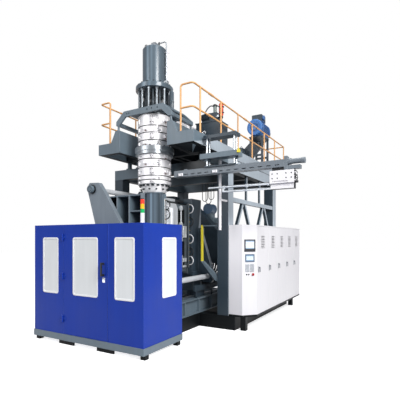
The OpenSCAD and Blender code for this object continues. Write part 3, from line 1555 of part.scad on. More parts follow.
// Left panel of the guard, with the fixed knuckles and pins of the door hinges
module guard_left_panel() {
  color(blue_paint) {
    difference() {
      mirror([1, 0, 0]) corner_panel(-door_left_x);
      on_guard_front(left_window_x) translate([0, 0, -guard_sheet - cut])
        linear_extrude(guard_sheet + 2 * cut) window_cut(window_w);
    }
    for (z = hinge_places) {
      translate([door_left_x - 1, guard_front_y - hinge_r, panel_z + z]) {
        cylinder(h = 40, r = hinge_r);
        translate([0, 0, 40]) cylinder(h = 82, d = hinge_pin_d);
        translate([0, 0, 82]) cylinder(h = 40, r = hinge_r);
        block([-60, hinge_r - 10, 0], [0, hinge_r, 40]);
        block([-60, hinge_r - 10, 82], [0, hinge_r, 122]);
      }
    }
  }
}

// Right panel of the guard, with the corner plate under the signal tower
module guard_right_panel() {
  color(blue_paint) {
    difference() {
      corner_panel(door_left_x + door_w);
      on_guard_front(right_window_x) translate([0, 0, -guard_sheet - cut])
        linear_extrude(guard_sheet + 2 * cut) window_cut(window_w);
    }
    block([guard_half_w - 230, guard_front_y + guard_sheet, guard_top - 20],
              [guard_half_w - guard_sheet, guard_front_y + guard_sheet + 190, guard_top]);
  }
}

// Panes of the fixed panels in their white frames
module guard_windows() {
  color(white_paint) {
    on_guard_front(left_window_x) window_unit(window_w);
    on_guard_front(right_window_x) window_unit(window_w);
    on_guard_side() window_unit(window_w);
    mirror([1, 0, 0]) on_guard_side() window_unit(window_w);
  }
}

// Guard door with its window cut, hinge knuckles and pull handle
module guard_door() {
  handle_x = door_left_x + door_w - 90;
  color(blue_paint) {
    difference() {
      block([door_left_x + door_gap, guard_front_y, panel_z + door_gap],
                  [door_left_x + door_w - door_gap, guard_front_y + guard_sheet, guard_top]);
      on_guard_front(door_window_x) translate([0, 0, -guard_sheet - cut])
        linear_extrude(guard_sheet + 2 * cut) window_cut(door_window_w);
    }
    for (z = hinge_places) {
      translate([door_left_x - 1, guard_front_y - hinge_r, panel_z + z + 41]) difference() {
        union() {
          cylinder(h = 40, r = hinge_r);
          block([0, hinge_r - 10, 0], [60, hinge_r, 40]);
        }
        translate([0, 0, -cut]) cylinder(h = 40 + 2 * cut, d = hinge_pin_d + 1);
      }
    }
  }
  color(black_paint) {
    for (z = [handle_z, handle_z + 200]) {
      block([handle_x - 14, guard_front_y - 50, z], [handle_x + 14, guard_front_y, z + 36]);
    }
    block([handle_x - 14, guard_front_y - 74, handle_z], [handle_x + 14, guard_front_y - 50, handle_z + 236]);
  }
}

module door_window() {
  color(white_paint) on_guard_front(door_window_x) window_unit(door_window_w);
}

// Signal tower: white tube with a foot, then green, amber and red lenses and a cap
module signal_tower() {
  x = guard_half_w - 135;
  y = guard_front_y + guard_sheet + 95;
  r = signal_d / 2;
  tube = 160;
  translate([x, y, guard_top]) {
    color(white_paint) {
      cylinder(h = 8, r = r + 12);
      cylinder(h = tube, r = r);
    }
    for (i = [0:2]) {
      color(["green", "orange", "red"][i]) translate([0, 0, tube + i * lens_h]) {
        cylinder(h = lens_h, r = r - 2);
        cylinder(h = 8, r = r);
      }
    }
    color(black_paint) translate([0, 0, tube + 3 * lens_h]) cylinder(h = 14, r1 = r, r2 = r - 8);
  }
}

// Cabinet row: back, floor, roof and partitions, with a mounting plate in each bay and the door pivots
module cabinet_row() {
  face = cabinet_out_x - cabinet_door_t;
  color(white_paint) {
    difference() {
      block([cabinet_in_x, row_front_y, cabinet_z], [cabinet_out_x, row_rear_y, cabinet_top]);
      for (i = [0:cabinets_n - 1]) {
        y = row_front_y + i * cabinet_pitch;
        block([cabinet_in_x + cabinet_sheet, y + cabinet_sheet, cabinet_z + lintel],
                      [face, y + cabinet_pitch - cabinet_sheet, cabinet_top - lintel]);
      }
      block([face, row_front_y - cut, cabinet_z + lintel], [cabinet_out_x + cut, row_rear_y + cut, cabinet_top - lintel]);
    }
    for (i = [0:cabinets_n - 1]) {
      y = row_front_y + i * cabinet_pitch;
      block([cabinet_in_x + cabinet_sheet, y + 80, cabinet_z + 160],
                  [cabinet_in_x + cabinet_sheet + 30, y + cabinet_pitch - 80, cabinet_top - 160]);
      for (z = [cabinet_z + 300:380:cabinet_top - 400]) {
        block([cabinet_in_x + cabinet_sheet + 30, y + 130, z],
                      [cabinet_in_x + cabinet_sheet + 150, y + cabinet_pitch - 130, z + 200]);
      }
      translate([pivot_x, pivot_y(i), cabinet_z + lintel]) cylinder(h = pivot_l, d = cabinet_pin_d);
      translate([pivot_x, pivot_y(i), cabinet_top - lintel - pivot_l]) cylinder(h = pivot_l, d = cabinet_pin_d);
    }
  }
}

// Middle of the door pivots
pivot_x = cabinet_out_x - cabinet_door_t / 2;

// Pivot place of door i along the row
function pivot_y(i) = row_front_y + (i + 1) * cabinet_pitch - cabinet_gap / 2 - cabinet_door_t / 2;

// Cabinet door i: louvred vent, rounded pivot edge with two bores, and an L-shaped latch
module cabinet_door(i) {
  y0 = row_front_y + i * cabinet_pitch + cabinet_gap / 2;
  low = cabinet_z + lintel + cabinet_gap;
  high = cabinet_top - lintel - cabinet_gap;
  face = cabinet_out_x - cabinet_door_t;
  vent_z = cabinet_top - 520;
  color(white_paint) {
    difference() {
      union() {
        block([face, y0, low], [cabinet_out_x, pivot_y(i), high]);
        translate([pivot_x, pivot_y(i), low]) cylinder(h = high - low, d = cabinet_door_t);
      }
      for (z = [low - cut, high - pivot_l]) {
        translate([pivot_x, pivot_y(i), z]) cylinder(h = pivot_l + cut, d = cabinet_pin_d + 1);
      }
      for (k = [0:louvres_n - 1]) {
        block([face - cut, y0 + (cabinet_pitch - vent_w) / 2, vent_z + k * vent_h / louvres_n],
                      [cabinet_out_x + cut, y0 + (cabinet_pitch + vent_w) / 2, vent_z + (k + 0.4) * vent_h / louvres_n]);
      }
    }
  }
  color(black_paint) {
    block([cabinet_out_x, y0 + 40, latch_z], [cabinet_out_x + 10, y0 + 72, latch_z + 130]);
    block([cabinet_out_x + 10, y0 + 46, latch_z + 88], [cabinet_out_x + 30, y0 + 66, latch_z + 118]);
    block([cabinet_out_x + 30, y0 + 46, latch_z + 8], [cabinet_out_x + 42, y0 + 66, latch_z + 118]);
  }
}

module cabinet_door_1() {
  cabinet_door(0);
}

module cabinet_door_2() {
  cabinet_door(1);
}

module cabinet_door_3() {
  cabinet_door(2);
}

module cabinet_door_4() {
  cabinet_door(3);
}

module cabinet_door_5() {
  cabinet_door(4);
}

// Places a drawing on the slanting console face: x to the right, y into the console
module on_console(u, z) {
  turn = atan2(console_run, cabinet_out_x - console_x);
  translate([(console_x + cabinet_out_x) / 2, cabinet_front_y + console_run / 2, z])
    rotate([0, 0, turn]) translate([u, 0, 0]) children();
}

// Console housing at the front corner of the row, with the bores of the operating parts
module console_body() {
  color(white_paint) difference() {
    translate([0, 0, cabinet_z]) linear_extrude(cabinet_h) polygon([
      [cabinet_in_x, cabinet_front_y], [console_x, cabinet_front_y],
      [cabinet_out_x, cabinet_front_y + console_run], [cabinet_out_x, row_front_y],
      [cabinet_in_x, row_front_y]]);
    on_console(stop_u, controls_z) rotate([-90, 0, 0]) translate([0, 0, -cut]) cylinder(h = 60 + cut, d = stop_stem_d + 1);
    for (u = selector_u) {
      on_console(u, controls_z) rotate([-90, 0, 0]) translate([0, 0, -cut]) cylinder(h = 40 + cut, d = selector_stem_d + 1);
    }
  }
}

// Operator screen, drive screen and key panel on the console face
module console_panels() {
  color(black_paint) {
    on_console(0, cabinet_z + 1385) difference() {
      block([-130, -14, 0], [130, 0, 265]);
      block([-104, -14 - cut, 62], [104, -8, 240]);
      for (k = [0:9]) {
        block([-98 + k * 20, -14 - cut, 16], [-84 + k * 20, -11, 34]);
      }
    }
    on_console(0, cabinet_z + 1160) difference() {
      block([-110, -12, 0], [110, 0, 170]);
      block([-86, -12 - cut, 24], [86, -7, 146]);
    }
  }
  color(grey_paint) for (side = [-1, 1]) {
    on_console(side * 58, cabinet_z + 940) {
      block([-50, -3, 0], [50, 0, 175]);
      for (row = [0:4], k = [0:2]) {
        block([-42 + k * 30, -7, 10 + row * 33], [-18 + k * 30, -3, 34 + row * 33]);
      }
    }
  }
}

// Mushroom stop button on its stem
module stop_button() {
  color("red") on_console(stop_u, controls_z) rotate([90, 0, 0]) {
    translate([0, 0, -40]) cylinder(h = 40 + stop_travel + 6, d = stop_stem_d);
    translate([0, 0, stop_travel + 4]) rotate_extrude() polygon([
      [0, 0], [stop_d / 2 - 4, 0], [stop_d / 2, 5], [stop_d / 2 - 3, 14], [stop_d / 3, 20], [0, 23]]);
  }
}

// Selector knob with a grip bar on its stem
module selector(u) {
  color(black_paint) on_console(u, controls_z) rotate([90, 0, 0]) {
    translate([0, 0, -30]) cylinder(h = 31, d = selector_stem_d);
    translate([0, 0, 1]) cylinder(h = 8, d = knob_d);
    translate([-4, -knob_d / 2 + 1, 9]) cube([8, knob_d - 2, 14]);
  }
}

module left_selector() {
  selector(selector_u[0]);
}

module right_selector() {
  selector(selector_u[1]);
}

base_skid();
clamp_bed();
bed_rails();
right_tower();
left_tower();
lower_frame();
deck_frame();
right_guard_rail();
left_guard_rail();
yoke_frame();
head_barrel();
heater_bands();
die_ring();
ram_cylinder();
cage_rods();
head_bolts();
oil_pipe();
extruder_barrel();
barrel_cover();
gearbox();
drive_motor();
belt_guard();
oil_tank();
pump_unit();
accumulator_bottle();
robot_bracket();
light_curtain();
blow_unit();
guard_base();
guard_left_panel();
guard_right_panel();
guard_windows();
signal_tower();
cabinet_row();
console_body();
console_panels();
guard_door();
door_window();
cabinet_door_1();
cabinet_door_2();
cabinet_door_3();
cabinet_door_4();
cabinet_door_5();
stop_button();
left_selector();
right_selector();
ram_rod();
die_core();
extruder_screw();
robot_beam();
lift_frame();
take_out_arm();
front_platen();
tie_bars();
pull_plate();
clamp_cylinder();
front_mould();
rear_platen();
rear_mould();
blow_pin();
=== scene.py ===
import math

import bmesh
import bpy
from mathutils import Matrix, Vector


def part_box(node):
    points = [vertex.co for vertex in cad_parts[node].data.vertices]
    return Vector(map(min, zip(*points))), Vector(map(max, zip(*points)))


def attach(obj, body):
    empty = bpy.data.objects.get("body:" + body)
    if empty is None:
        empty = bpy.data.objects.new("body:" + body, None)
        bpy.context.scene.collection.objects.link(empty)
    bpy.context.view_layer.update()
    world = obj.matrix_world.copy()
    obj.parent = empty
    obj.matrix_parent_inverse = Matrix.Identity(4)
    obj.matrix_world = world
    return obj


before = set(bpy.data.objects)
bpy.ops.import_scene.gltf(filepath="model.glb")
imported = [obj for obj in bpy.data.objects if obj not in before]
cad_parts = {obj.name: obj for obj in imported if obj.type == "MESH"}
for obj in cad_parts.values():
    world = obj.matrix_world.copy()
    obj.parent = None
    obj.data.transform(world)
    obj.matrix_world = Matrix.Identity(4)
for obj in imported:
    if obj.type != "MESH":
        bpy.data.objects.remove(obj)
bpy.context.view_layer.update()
scene = bpy.context.scene

# Camera
# Stands in front of the machine, off to the side of the cabinets, and looks level at it, so
# that uprights stay upright. The lens is shifted, not tilted, to take in the top.
camera = bpy.data.objects.new("camera", bpy.data.cameras.new("camera"))
camera.location = (5.164, -6.83, 2.0)
camera.rotation_euler = (math.radians(90), 0, math.radians(30))
camera.data.lens = 32.85
camera.data.sensor_width = 36
camera.data.shift_y = 0.0975
camera.data.clip_end = 200
scene.collection.objects.link(camera)
scene.camera = camera
scene.view_settings.view_transform = "Standard"


# Floor and light
# A white paper floor that runs out of sight behind the machine, three large soft lamps at
# its side, in front and above, and a pale room that fills the shadows.
def colour(hex_code):
    """An sRGB hex colour as linear red, green, blue and alpha."""
    parts = [int(hex_code[i:i + 2], 16) / 255 for i in (1, 3, 5)]
    return [p / 12.92 if p <= 0.04045 else ((p + 0.055) / 1.055) ** 2.4 for p in parts] + [1]


def feed(node, inputs):
    """Fills a node's inputs with values or with other nodes' outputs."""
    for socket, value in inputs.items():
        if isinstance(value, bpy.types.NodeSocket):
            node.id_data.links.new(value, node.inputs[socket])
        else:
            node.inputs[socket].default_value = value


def put(tree, kind, inputs={}, **settings):
    """Adds a node to a tree, with its settings and its inputs."""
    made = tree.nodes.new(kind)
    for name, value in settings.items():
        setattr(made, name, value)
    feed(made, inputs)
    return made


def reckon(tree, operation, first, second=0.0):
    """One step of arithmetic with two values."""
    return put(tree, "ShaderNodeMath", {0: first, 1: second}, operation=operation).outputs[0]


bpy.ops.mesh.primitive_plane_add(size=90, location=(0, 10, 0))
floor = bpy.context.object
floor.name = "floor"
paper = bpy.data.materials.new("white paper")
paper.use_nodes = True
tree = paper.node_tree
tree.nodes.clear()
sight = put(tree, "ShaderNodeLightPath")
matt = put(tree, "ShaderNodeBsdfDiffuse", {"Color": colour("#6E6E72")})
# Seen by the camera or in a mirror the paper is white, and it still takes the machine's shadow
paper_white = put(tree, "ShaderNodeBsdfDiffuse", {"Color": colour("#F4F4F4")})
glow = put(tree, "ShaderNodeEmission", {"Color": colour("#FFFFFF"), "Strength": 0.62})
lit = put(tree, "ShaderNodeAddShader", {0: paper_white.outputs[0], 1: glow.outputs[0]})
seen = reckon(tree, "MAXIMUM", sight.outputs["Is Camera Ray"], sight.outputs["Is Glossy Ray"])
mixed = put(tree, "ShaderNodeMixShader", {0: seen, 1: matt.outputs[0], 2: lit.outputs[0]})
put(tree, "ShaderNodeOutputMaterial", {"Surface": mixed.outputs[0]})
floor.data.materials.append(paper)

room = bpy.data.worlds.new("studio")
scene.world = room
room.use_nodes = True
tree = room.node_tree
tree.nodes.clear()
sight = put(tree, "ShaderNodeLightPath")
white = put(tree, "ShaderNodeBackground", {"Color": (1, 1, 1, 1), "Strength": 1})
fill = put(tree, "ShaderNodeBackground", {"Color": colour("#F6F8FF"), "Strength": 0.48})
seen = reckon(tree, "MAXIMUM", sight.outputs["Is Camera Ray"], sight.outputs["Is Transmission Ray"])
mixed = put(tree, "ShaderNodeMixShader", {0: seen, 1: fill.outputs[0], 2: white.outputs[0]})
put(tree, "ShaderNodeOutputWorld", {"Surface": mixed.outputs[0]})

for name, place, aim, size, power in [
    ("side lamp", (12.0, -6.0, 9.0), (0.5, 1.0, 2.5), 7.0, 2050),
    ("front lamp", (-5.0, -12.0, 8.0), (0.0, -1.0, 2.0), 6.0, 480),
    ("top lamp", (2.0, 2.0, 14.0), (0.0, 2.0, 0.0), 6.0, 600),
]:
    lamp = bpy.data.lights.new(name, "AREA")
    lamp.shape = "DISK"
    lamp.size = size
    lamp.energy = power
    stand = bpy.data.objects.new(name, lamp)
    stand.location = place
    stand.rotation_euler = (Vector(aim) - Vector(place)).to_track_quat("-Z", "Y").to_euler()
    scene.collection.objects.link(stand)


# Welded base and clamp bed
# Box girders of mild steel plate, welded and shot-blasted. The frame on the floor has
# black chassis paint, and the bed on it two sprayed coats of slate grey machine enamel.
def inside(material):
    """The node tree of a material, its shader and its coordinates on the machine."""
    tree = material.node_tree
    return tree, tree.nodes["Principled BSDF"], put(tree, "ShaderNodeTexCoord").outputs["Object"]


def fresh(name):
    """A new material, with what is inside it."""
    made = bpy.data.materials.new(name)
    made.use_nodes = True
    return made, *inside(made)


def source_of(shader, socket):
    """The output that feeds one of a shader's sockets."""
    return shader.inputs[socket].links[0].from_socket


def remap(tree, value, low, high, start=0.0, end=1.0, **settings):
    """Maps low to start and high to end."""
    ends = {"Value": value, "From Min": low, "From Max": high, "To Min": start, "To Max": end}
    return put(tree, "ShaderNodeMapRange", ends, **settings).outputs[0]


# Where the values of one noise mostly lie, and those of two noises added
one_noise, two_noises = (0.3, 0.7), (0.7, 1.3)


def noise(tree, where, size, detail):
    """Soft noise with lumps of a size in metres."""
    return put(tree, "ShaderNodeTexNoise", {"Vector": where, "Scale": 1 / size, "Detail": detail}).outputs["Fac"]


def shaded(tree, tint, gain):
    """A colour made brighter or darker by a gain."""
    return put(tree, "ShaderNodeVectorMath", {0: tint, "Scale": gain}, operation="SCALE").outputs[0]


def clouded(tree, tint, first, second, low):
    """A colour that two noises shade down to the gain low, and as far up."""
    return shaded(tree, tint, remap(tree, reckon(tree, "ADD", first, second), *two_noises, low, 2 - low))


def blend(tree, share, under, over):
    """Two colours mixed, with a share of the one on top."""
    return put(tree, "ShaderNodeMix", {0: share, 6: under, 7: over}, data_type="RGBA").outputs[2]


def relief(tree, height, strength, depth, normal):
    """A normal bent by a height field of a depth in metres."""
    return put(tree, "ShaderNodeBump", {"Height": height, "Strength": strength, "Distance": depth,
                                        "Normal": normal}).outputs[0]


def enamel(name, paint, worn, roughness=0.4, cloud=0.92, peel=0.012, specular=0.5):
    """Sprayed machine enamel: a satin coat with a fine orange peel, a slightly cloudy tone and edges rubbed paler."""
    made, tree, shader, where = fresh(name)
    # Paint depth drifts over half a metre, and dust runs down in streaks a hand wide
    drift = noise(tree, where, 0.5, 3.0)
    upright = put(tree, "ShaderNodeMapping", {"Vector": where, "Scale": (1 / 0.09, 1 / 0.09, 1 / 1.1)})
    streak = noise(tree, upright.outputs[0], 1.0, 2.0)
    coat = clouded(tree, colour(paint)[:3], drift, streak, cloud)
    # Rubbed edges are 2 mm wide on the machine, too fine to show, and drawn 8 mm wide
    rim = put(tree, "ShaderNodeBevel", {"Radius": 0.008}, samples=4).outputs[0]
    face = put(tree, "ShaderNodeNewGeometry").outputs["Normal"]
    flatness = put(tree, "ShaderNodeVectorMath", {0: rim, 1: face}, operation="DOT_PRODUCT").outputs["Value"]
    edge = remap(tree, flatness, 0.98, 0.8)
    rubbed = reckon(tree, "MULTIPLY", edge, noise(tree, where, 0.06, 3.0))
    # The orange peel of a spray gun is 2 mm wide and drawn six times as coarse
    skin = noise(tree, where, peel, 2.0)
    feed(shader, {"Base Color": blend(tree, rubbed, coat, colour(worn)), "Specular IOR Level": specular,
                  "Normal": relief(tree, skin, 0.12, 0.002, rim),
                  "Roughness": remap(tree, drift, *one_noise, roughness - 0.06, roughness + 0.08)})
    return made


def ground_metal(name, tint, roughness=0.3, grain=(1 / 0.25, 1 / 0.25, 1 / 0.006), tone=0.1, metallic=1.0):
    """Bare machined metal: fine tool marks, faint stains and rims that catch the light."""
    made, tree, shader, where = fresh(name)
    # Turning and grinding marks are 0.2 mm apart, and drawn 6 mm apart to show
    long_way = put(tree, "ShaderNodeMapping", {"Vector": where, "Scale": grain})
    marks = noise(tree, long_way.outputs[0], 1.0, 3.0)
    stain = noise(tree, where, 0.2, 4.0)
    rim = put(tree, "ShaderNodeBevel", {"Radius": 0.005}, samples=4).outputs[0]
    feed(shader, {"Base Color": clouded(tree, colour(tint)[:3], marks, stain, 1 - tone), "Metallic": metallic,
                  "Normal": relief(tree, marks, 0.1, 0.001, rim),
                  "Roughness": remap(tree, stain, *one_noise, roughness - 0.05, roughness + 0.1)})
    return made


def dress(material, *solids):
    """Gives solids of the machine their finish."""
    for name in solids:
        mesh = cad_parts[name].data
        mesh.materials.clear()
        mesh.materials.append(material)


def touch_up(solid, material, wanted):
    """Gives a second finish to the faces of a solid whose centre and normal are wanted."""
    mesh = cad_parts[solid].data
    mesh.materials.append(material)
    for face in mesh.polygons:
        if wanted(face.center, face.normal):
            face.material_index = len(mesh.materials) - 1


def take(*pieces):
    """Selects pieces alone and makes the first one active."""
    bpy.ops.object.select_all(action="DESELECT")
    for piece in pieces:
        piece.select_set(True)
    bpy.context.view_layer.objects.active = pieces[0]


def facing(way):
    """Wants the faces that look one way, such as "+x" or "-y", or with a bare "z" those at both ends."""
    sign, axis = {"+": 1, "-": -1}.get(way[0], 0), "xyz".index(way[-1])
    return lambda c, n: (sign * n[axis] if sign else abs(n[axis])) > 0.9


def pick(piece, wanted):
    """Opens a piece in edit mode with only the wanted faces selected, by their centre and normal."""
    take(piece)
    bpy.ops.object.mode_set(mode="EDIT")
    bpy.ops.mesh.select_mode(type="FACE")
    bpy.ops.mesh.select_all(action="DESELECT")
    mesh = bmesh.from_edit_mesh(piece.data)
    for face in mesh.faces:
        face.select_set(bool(wanted(face.calc_center_median(), face.normal)))
    bmesh.update_edit_mesh(piece.data)


def press(piece, wanted, *steps):
    """Insets the wanted faces by each step's width and presses them out, or in, by its depth."""
    pick(piece, wanted)
    for width, depth in steps:
        bpy.ops.mesh.inset(thickness=width, depth=depth)
    bpy.ops.object.mode_set(mode="OBJECT")


def settle(name, way="", *steps):
    """Names the new form, writes its place into its mesh and presses the faces that look one way."""
    piece = bpy.context.object
    piece.name = name
    bpy.ops.object.transform_apply(location=True, rotation=True, scale=True)
    if way:
        press(piece, facing(way), *steps)
    return piece


def block(name, low, high, way="", *steps):
    """A block between two corners, pressed in steps on the faces that look one way."""
    bpy.ops.mesh.primitive_cube_add(size=1, location=[(a + b) / 2 for a, b in zip(low, high)],
                                    scale=[b - a for a, b in zip(low, high)])
    return settle(name, way, *steps)


def drum(name, start, end, radius, sides=24, way="", *steps):
    """A round or many-sided bar from one point to another, pressed in steps on the faces that look one way."""
    start, end = Vector(start), Vector(end)
    bpy.ops.mesh.primitive_cylinder_add(vertices=sides, radius=radius, depth=(end - start).length,
                                        location=(start + end) / 2,
                                        rotation=(end - start).to_track_quat("Z", "Y").to_euler())
    return settle(name, way, *steps)


def soften(piece, width, segments=1):
    """Rounds the sharp edges of a piece and shades the rest smooth."""
    sharp = math.radians(40)
    take(piece)
    bevel = piece.modifiers.new("round edges", "BEVEL")
    bevel.width = width
    bevel.segments = segments
    bevel.limit_method = "ANGLE"
    bevel.angle_limit = sharp
    bpy.ops.object.modifier_apply(modifier=bevel.name)
    bpy.ops.object.shade_smooth_by_angle(angle=sharp)


def join(name, pieces):
    """Welds finished pieces into one."""
    take(*pieces)
    bpy.ops.object.join()
    pieces[0].name = name
    return pieces[0]


def shift(x=0.0, y=0.0, z=0.0):
    """A move by x, y and z."""
    return Matrix.Translation((x, y, z))


def spin(degrees, axis="Z", about=(0, 0, 0)):
    """A turn round an axis through a point."""
    return shift(*about) @ Matrix.Rotation(math.radians(degrees), 4, axis) @ shift(*about).inverted()


def repeat(piece, moves):
    """Copies a finished piece by each offset or matrix, every copy with its own mesh, and joins the copies."""
    name = piece.name
    made = []
    for move in moves:
        twin = piece.copy()
        twin.data = piece.data.copy()
        twin.data.transform(move if isinstance(move, Matrix) else shift(*move))
        scene.collection.objects.link(twin)
        made.append(twin)
    bpy.data.objects.remove(piece)
    return join(name, made)


def hang(piece, body, slot, material, *rounding):
    """Rounds a finished piece if a width is given, gives it its finish and lets it move with a body."""
    if rounding:
        soften(piece, *rounding)
    piece.data.materials.clear()
    piece.data.materials.append(material)
    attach(piece, body)


chassis_black = enamel("black chassis paint on steel", "#101315", "#33383D", 0.5, specular=0.12)
slate = ("#66757F", "#96A2AC")
slate_enamel = enamel("slate grey machine enamel", *slate)
# A paler grey that paints the light on sides that face the lamps
painted_light_enamel = enamel("light grey enamel as painted light", "#A6B0B8", "#C6CED4")
# A near black that paints the shade on undersides, backs and recesses
painted_shade_enamel = enamel("dark grey painted shade on hidden faces", "#14191D", "#2C353B", 0.6, specular=0.12)
dark_enamel = enamel("dark grey machine enamel", "#313E48", "#66747F")
black_oxide = ground_metal("black oxide steel", "#3A3D40", 0.45)
in_oxide = ("black_bolts", black_oxide)
dress(chassis_black, "base_skid")
dress(slate_enamel, "clamp_bed")

# Anchor nuts: M30 on a plate washer, each with the bolt's end standing 20 mm proud
nut = drum("anchor_nuts", (0, 0, 0.308), (0, 0, 0.332), 0.027, 6, "+z", (0.009, 0.0), (0.0005, 0.020), (0.003, 0.003))
washer = drum("washer", (0, 0, 0.3005), (0, 0, 0.308), 0.045, 20, "+z", (0.003, 0.001))
anchors = repeat(join("anchor_nuts", [nut, washer]), [(x, y, 0) for x in (-0.86, 0.86) for y in (-1.42, 4.22)])
hang(anchors, "frame", *in_oxide, 0.0015)

# Towers and platforms
# Box columns and trusses of rolled section carry two platforms of channel. Columns and
# trusses are dark grey, platforms slate grey, joined by head plates and jacks.
dress(dark_enamel, "right_tower", "left_tower")
# Sides that look away from the machine's middle get a paler grey, as painted light
for tower in ("right_tower", "left_tower"):
    touch_up(tower, painted_light_enamel, lambda c, n: c.x * n.x > 0.9 * abs(c.x))
# The lower frame is slate grey, with a painted shadow darkening it right of the die head, where the robot beam and
# deck shade it
shadowed_slate_enamel = enamel("slate enamel with painted shadow", *slate)
tree, shader, where = inside(shadowed_slate_enamel)
place = put(tree, "ShaderNodeSeparateXYZ", {0: where})
painted_shadow = remap(tree, place.outputs["X"], 0.1, 0.45)
feed(shader, {"Base Color": blend(tree, painted_shadow, source_of(shader, "Base Color"), colour("#1D2327"))})
dress(shadowed_slate_enamel, "lower_frame")
# Painted light on its outer right side, and painted shade on its undersides, backs and inner sides
touch_up("lower_frame", painted_light_enamel, lambda c, n: n.x > 0.9 and c.x > 1.6)
touch_up("lower_frame", painted_shade_enamel, lambda c, n: n.z < -0.5 or n.y > 0.5 or (n.x < -0.5 and c.x > 0))

# The deck is covered with chequer plate, 5 mm lozenges rolled 25 mm apart and drawn 50 mm apart
chequer_plate = enamel("slate enamel on chequer plate", *slate)
tree, shader, where = inside(chequer_plate)
lozenges = []
for angle in (45, -45):
    lay = put(tree, "ShaderNodeMapping", {"Vector": where, "Rotation": (0, 0, math.radians(angle))})
    size = put(tree, "ShaderNodeVectorMath", {0: lay.outputs[0], 1: (1 / 0.05, 1 / 0.15, 1)}, operation="MULTIPLY")
    cell = put(tree, "ShaderNodeTexVoronoi", {"Vector": size.outputs[0], "Scale": 1.0, "Randomness": 0.0})
    lozenges.append(remap(tree, cell.outputs["Distance"], 0.32, 0.22))
level = put(tree, "ShaderNodeSeparateXYZ", {0: put(tree, "ShaderNodeNewGeometry").outputs["Normal"]})
top = reckon(tree, "GREATER_THAN", level.outputs["Z"], 0.9)
shown = reckon(tree, "MULTIPLY", reckon(tree, "MAXIMUM", *lozenges), top)
trodden = reckon(tree, "MULTIPLY", shown, 0.35)
feed(shader, {"Normal": relief(tree, shown, 0.7, 0.006, source_of(shader, "Normal")),
              "Base Color": blend(tree, trodden, source_of(shader, "Base Color"), colour("#A9B2B9"))})
dress(chequer_plate, "deck_frame")
# Painted light on the deck's right side, and painted shade on the undersides and inner faces of its boxes
touch_up("deck_frame", painted_light_enamel, lambda c, n: n.x > 0.9 and c.x > 1.2 and c.y > 0.1)
deck_low, deck_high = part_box("deck_frame")
touch_up("deck_frame", painted_shade_enamel, lambda c, n: n.z < 0.5 and c.z < 4.24 and abs(c.x) < deck_high.x - 0.005
         and (n.y > -0.5 or c.y > deck_low.y + 0.005) and not n.x * c.x < -0.5)

# Guard rails
# Steel tube bent cold and welded, 38 mm across, with foot discs on the deck beams,
# in orange-yellow enamel. A sleeve with two set screws joins the tubes every two posts.
rail_enamel = enamel("orange-yellow rail enamel", "#E8AE6E", "#F5D2A8", 0.38)
dress(rail_enamel, "right_guard_rail", "left_guard_rail")
sleeve = drum("rail_sleeves", (1.29, 0.28, 5.23), (1.29, 0.46, 5.23), 0.0255, 20, "y", (0.002, -0.001))
screw = drum("set_screw", (1.314, 0.32, 5.23), (1.324, 0.32, 5.23), 0.006, 8, "+x", (0.002, -0.004))
screws = repeat(screw, [(0, dy, 0) for dy in (0, 0.1)])
sleeve = join("rail_sleeves", [sleeve, screws])
sleeves = repeat(sleeve, [shift(0, y, z) @ Matrix.Scale(side, 4, (1, 0, 0))
                          for side in (1, -1) for y in (0, 1.954, 3.908) for z in (0, -0.49)])
pick(sleeves, lambda c, n: True)
bpy.ops.mesh.normals_make_consistent(inside=False)
bpy.ops.object.mode_set(mode="OBJECT")
hang(sleeves, "frame", "rail_paint", rail_enamel, 0.0015)

# Die head
# A hanging stack of turned steel bodies. Stainless heater jackets wrap it, each drawn tight
# by a screwed lug pair, with a thermocouple and, on the taller ones, a terminal box.
ground_steel = ground_metal("ground steel", "#A9AEB2", 0.32)
jacket_steel = ground_metal("bright heater jacket sheet", "#F3F1F2", 0.45, (1 / 0.4, 1 / 0.4, 1 / 0.03), 0.05, 0.45)
gloss_slate = enamel("glossy slate enamel with painted reflections", "#5A6872", "#96A2AC", 0.2, 0.94, 0.03)


def bands(polished, axis_x, axis_y, lamps):
    """Painted reflections: upright bands round an axis, lighter or darker as lamps and dark walls would show in a
    polished shell: (angle, half width, gain).
    """
    tree, shader, where = inside(polished)
    place = put(tree, "ShaderNodeSeparateXYZ", {0: where})
    across = reckon(tree, "SUBTRACT", place.outputs["X"], axis_x)
    along = reckon(tree, "SUBTRACT", place.outputs["Y"], axis_y)
    angle = reckon(tree, "ARCTAN2", along, across)
    tone = 1.0
    for aim, spread, gain in lamps:
        off = reckon(tree, "ABSOLUTE", reckon(tree, "SUBTRACT", angle, math.radians(aim)))
        glow = remap(tree, off, math.radians(spread), 0.0, 0.0, gain, interpolation_type="SMOOTHSTEP")
        tone = reckon(tree, "ADD", tone, glow)
    feed(shader, {"Base Color": shaded(tree, source_of(shader, "Base Color"), tone)})


# Painted reflections on the glossy slate: light and dark bands round the ram's axis
bands(gloss_slate, 0.0, 0.0, [(-88, 10, 1.0), (-68, 8, 0.45), (-46, 8, 0.35), (-6, 30, -0.35), (-138, 16, -0.3)])
hard_chrome = ground_metal("hard chrome", "#DDE0E2", 0.14, tone=0.03)
dress(ground_steel, "head_barrel", "oil_pipe", "extruder_barrel", "extruder_screw", "bed_rails")
dress(jacket_steel, "heater_bands", "die_ring")
dress(hard_chrome, "die_core")
dress(black_oxide, "head_bolts")
dress(slate_enamel, "yoke_frame")
dress(gloss_slate, "ram_cylinder")
cage_steel = ground_metal("turned cage rod steel", "#8F959A", 0.45)
dress(cage_steel, "cage_rods")
# The ram rod is dark oxide, partly for the dark rods inside the cage and partly as painted shade there
dress(black_oxide, "ram_rod")

# Bottom and top of each heater jacket
band_ends = [(3.236, 3.328), (3.328, 3.421), (3.421, 3.612), (3.612, 3.797), (3.797, 3.910),
             (4.078, 4.213), (4.213, 4.383), (4.383, 4.539), (4.539, 4.800)]
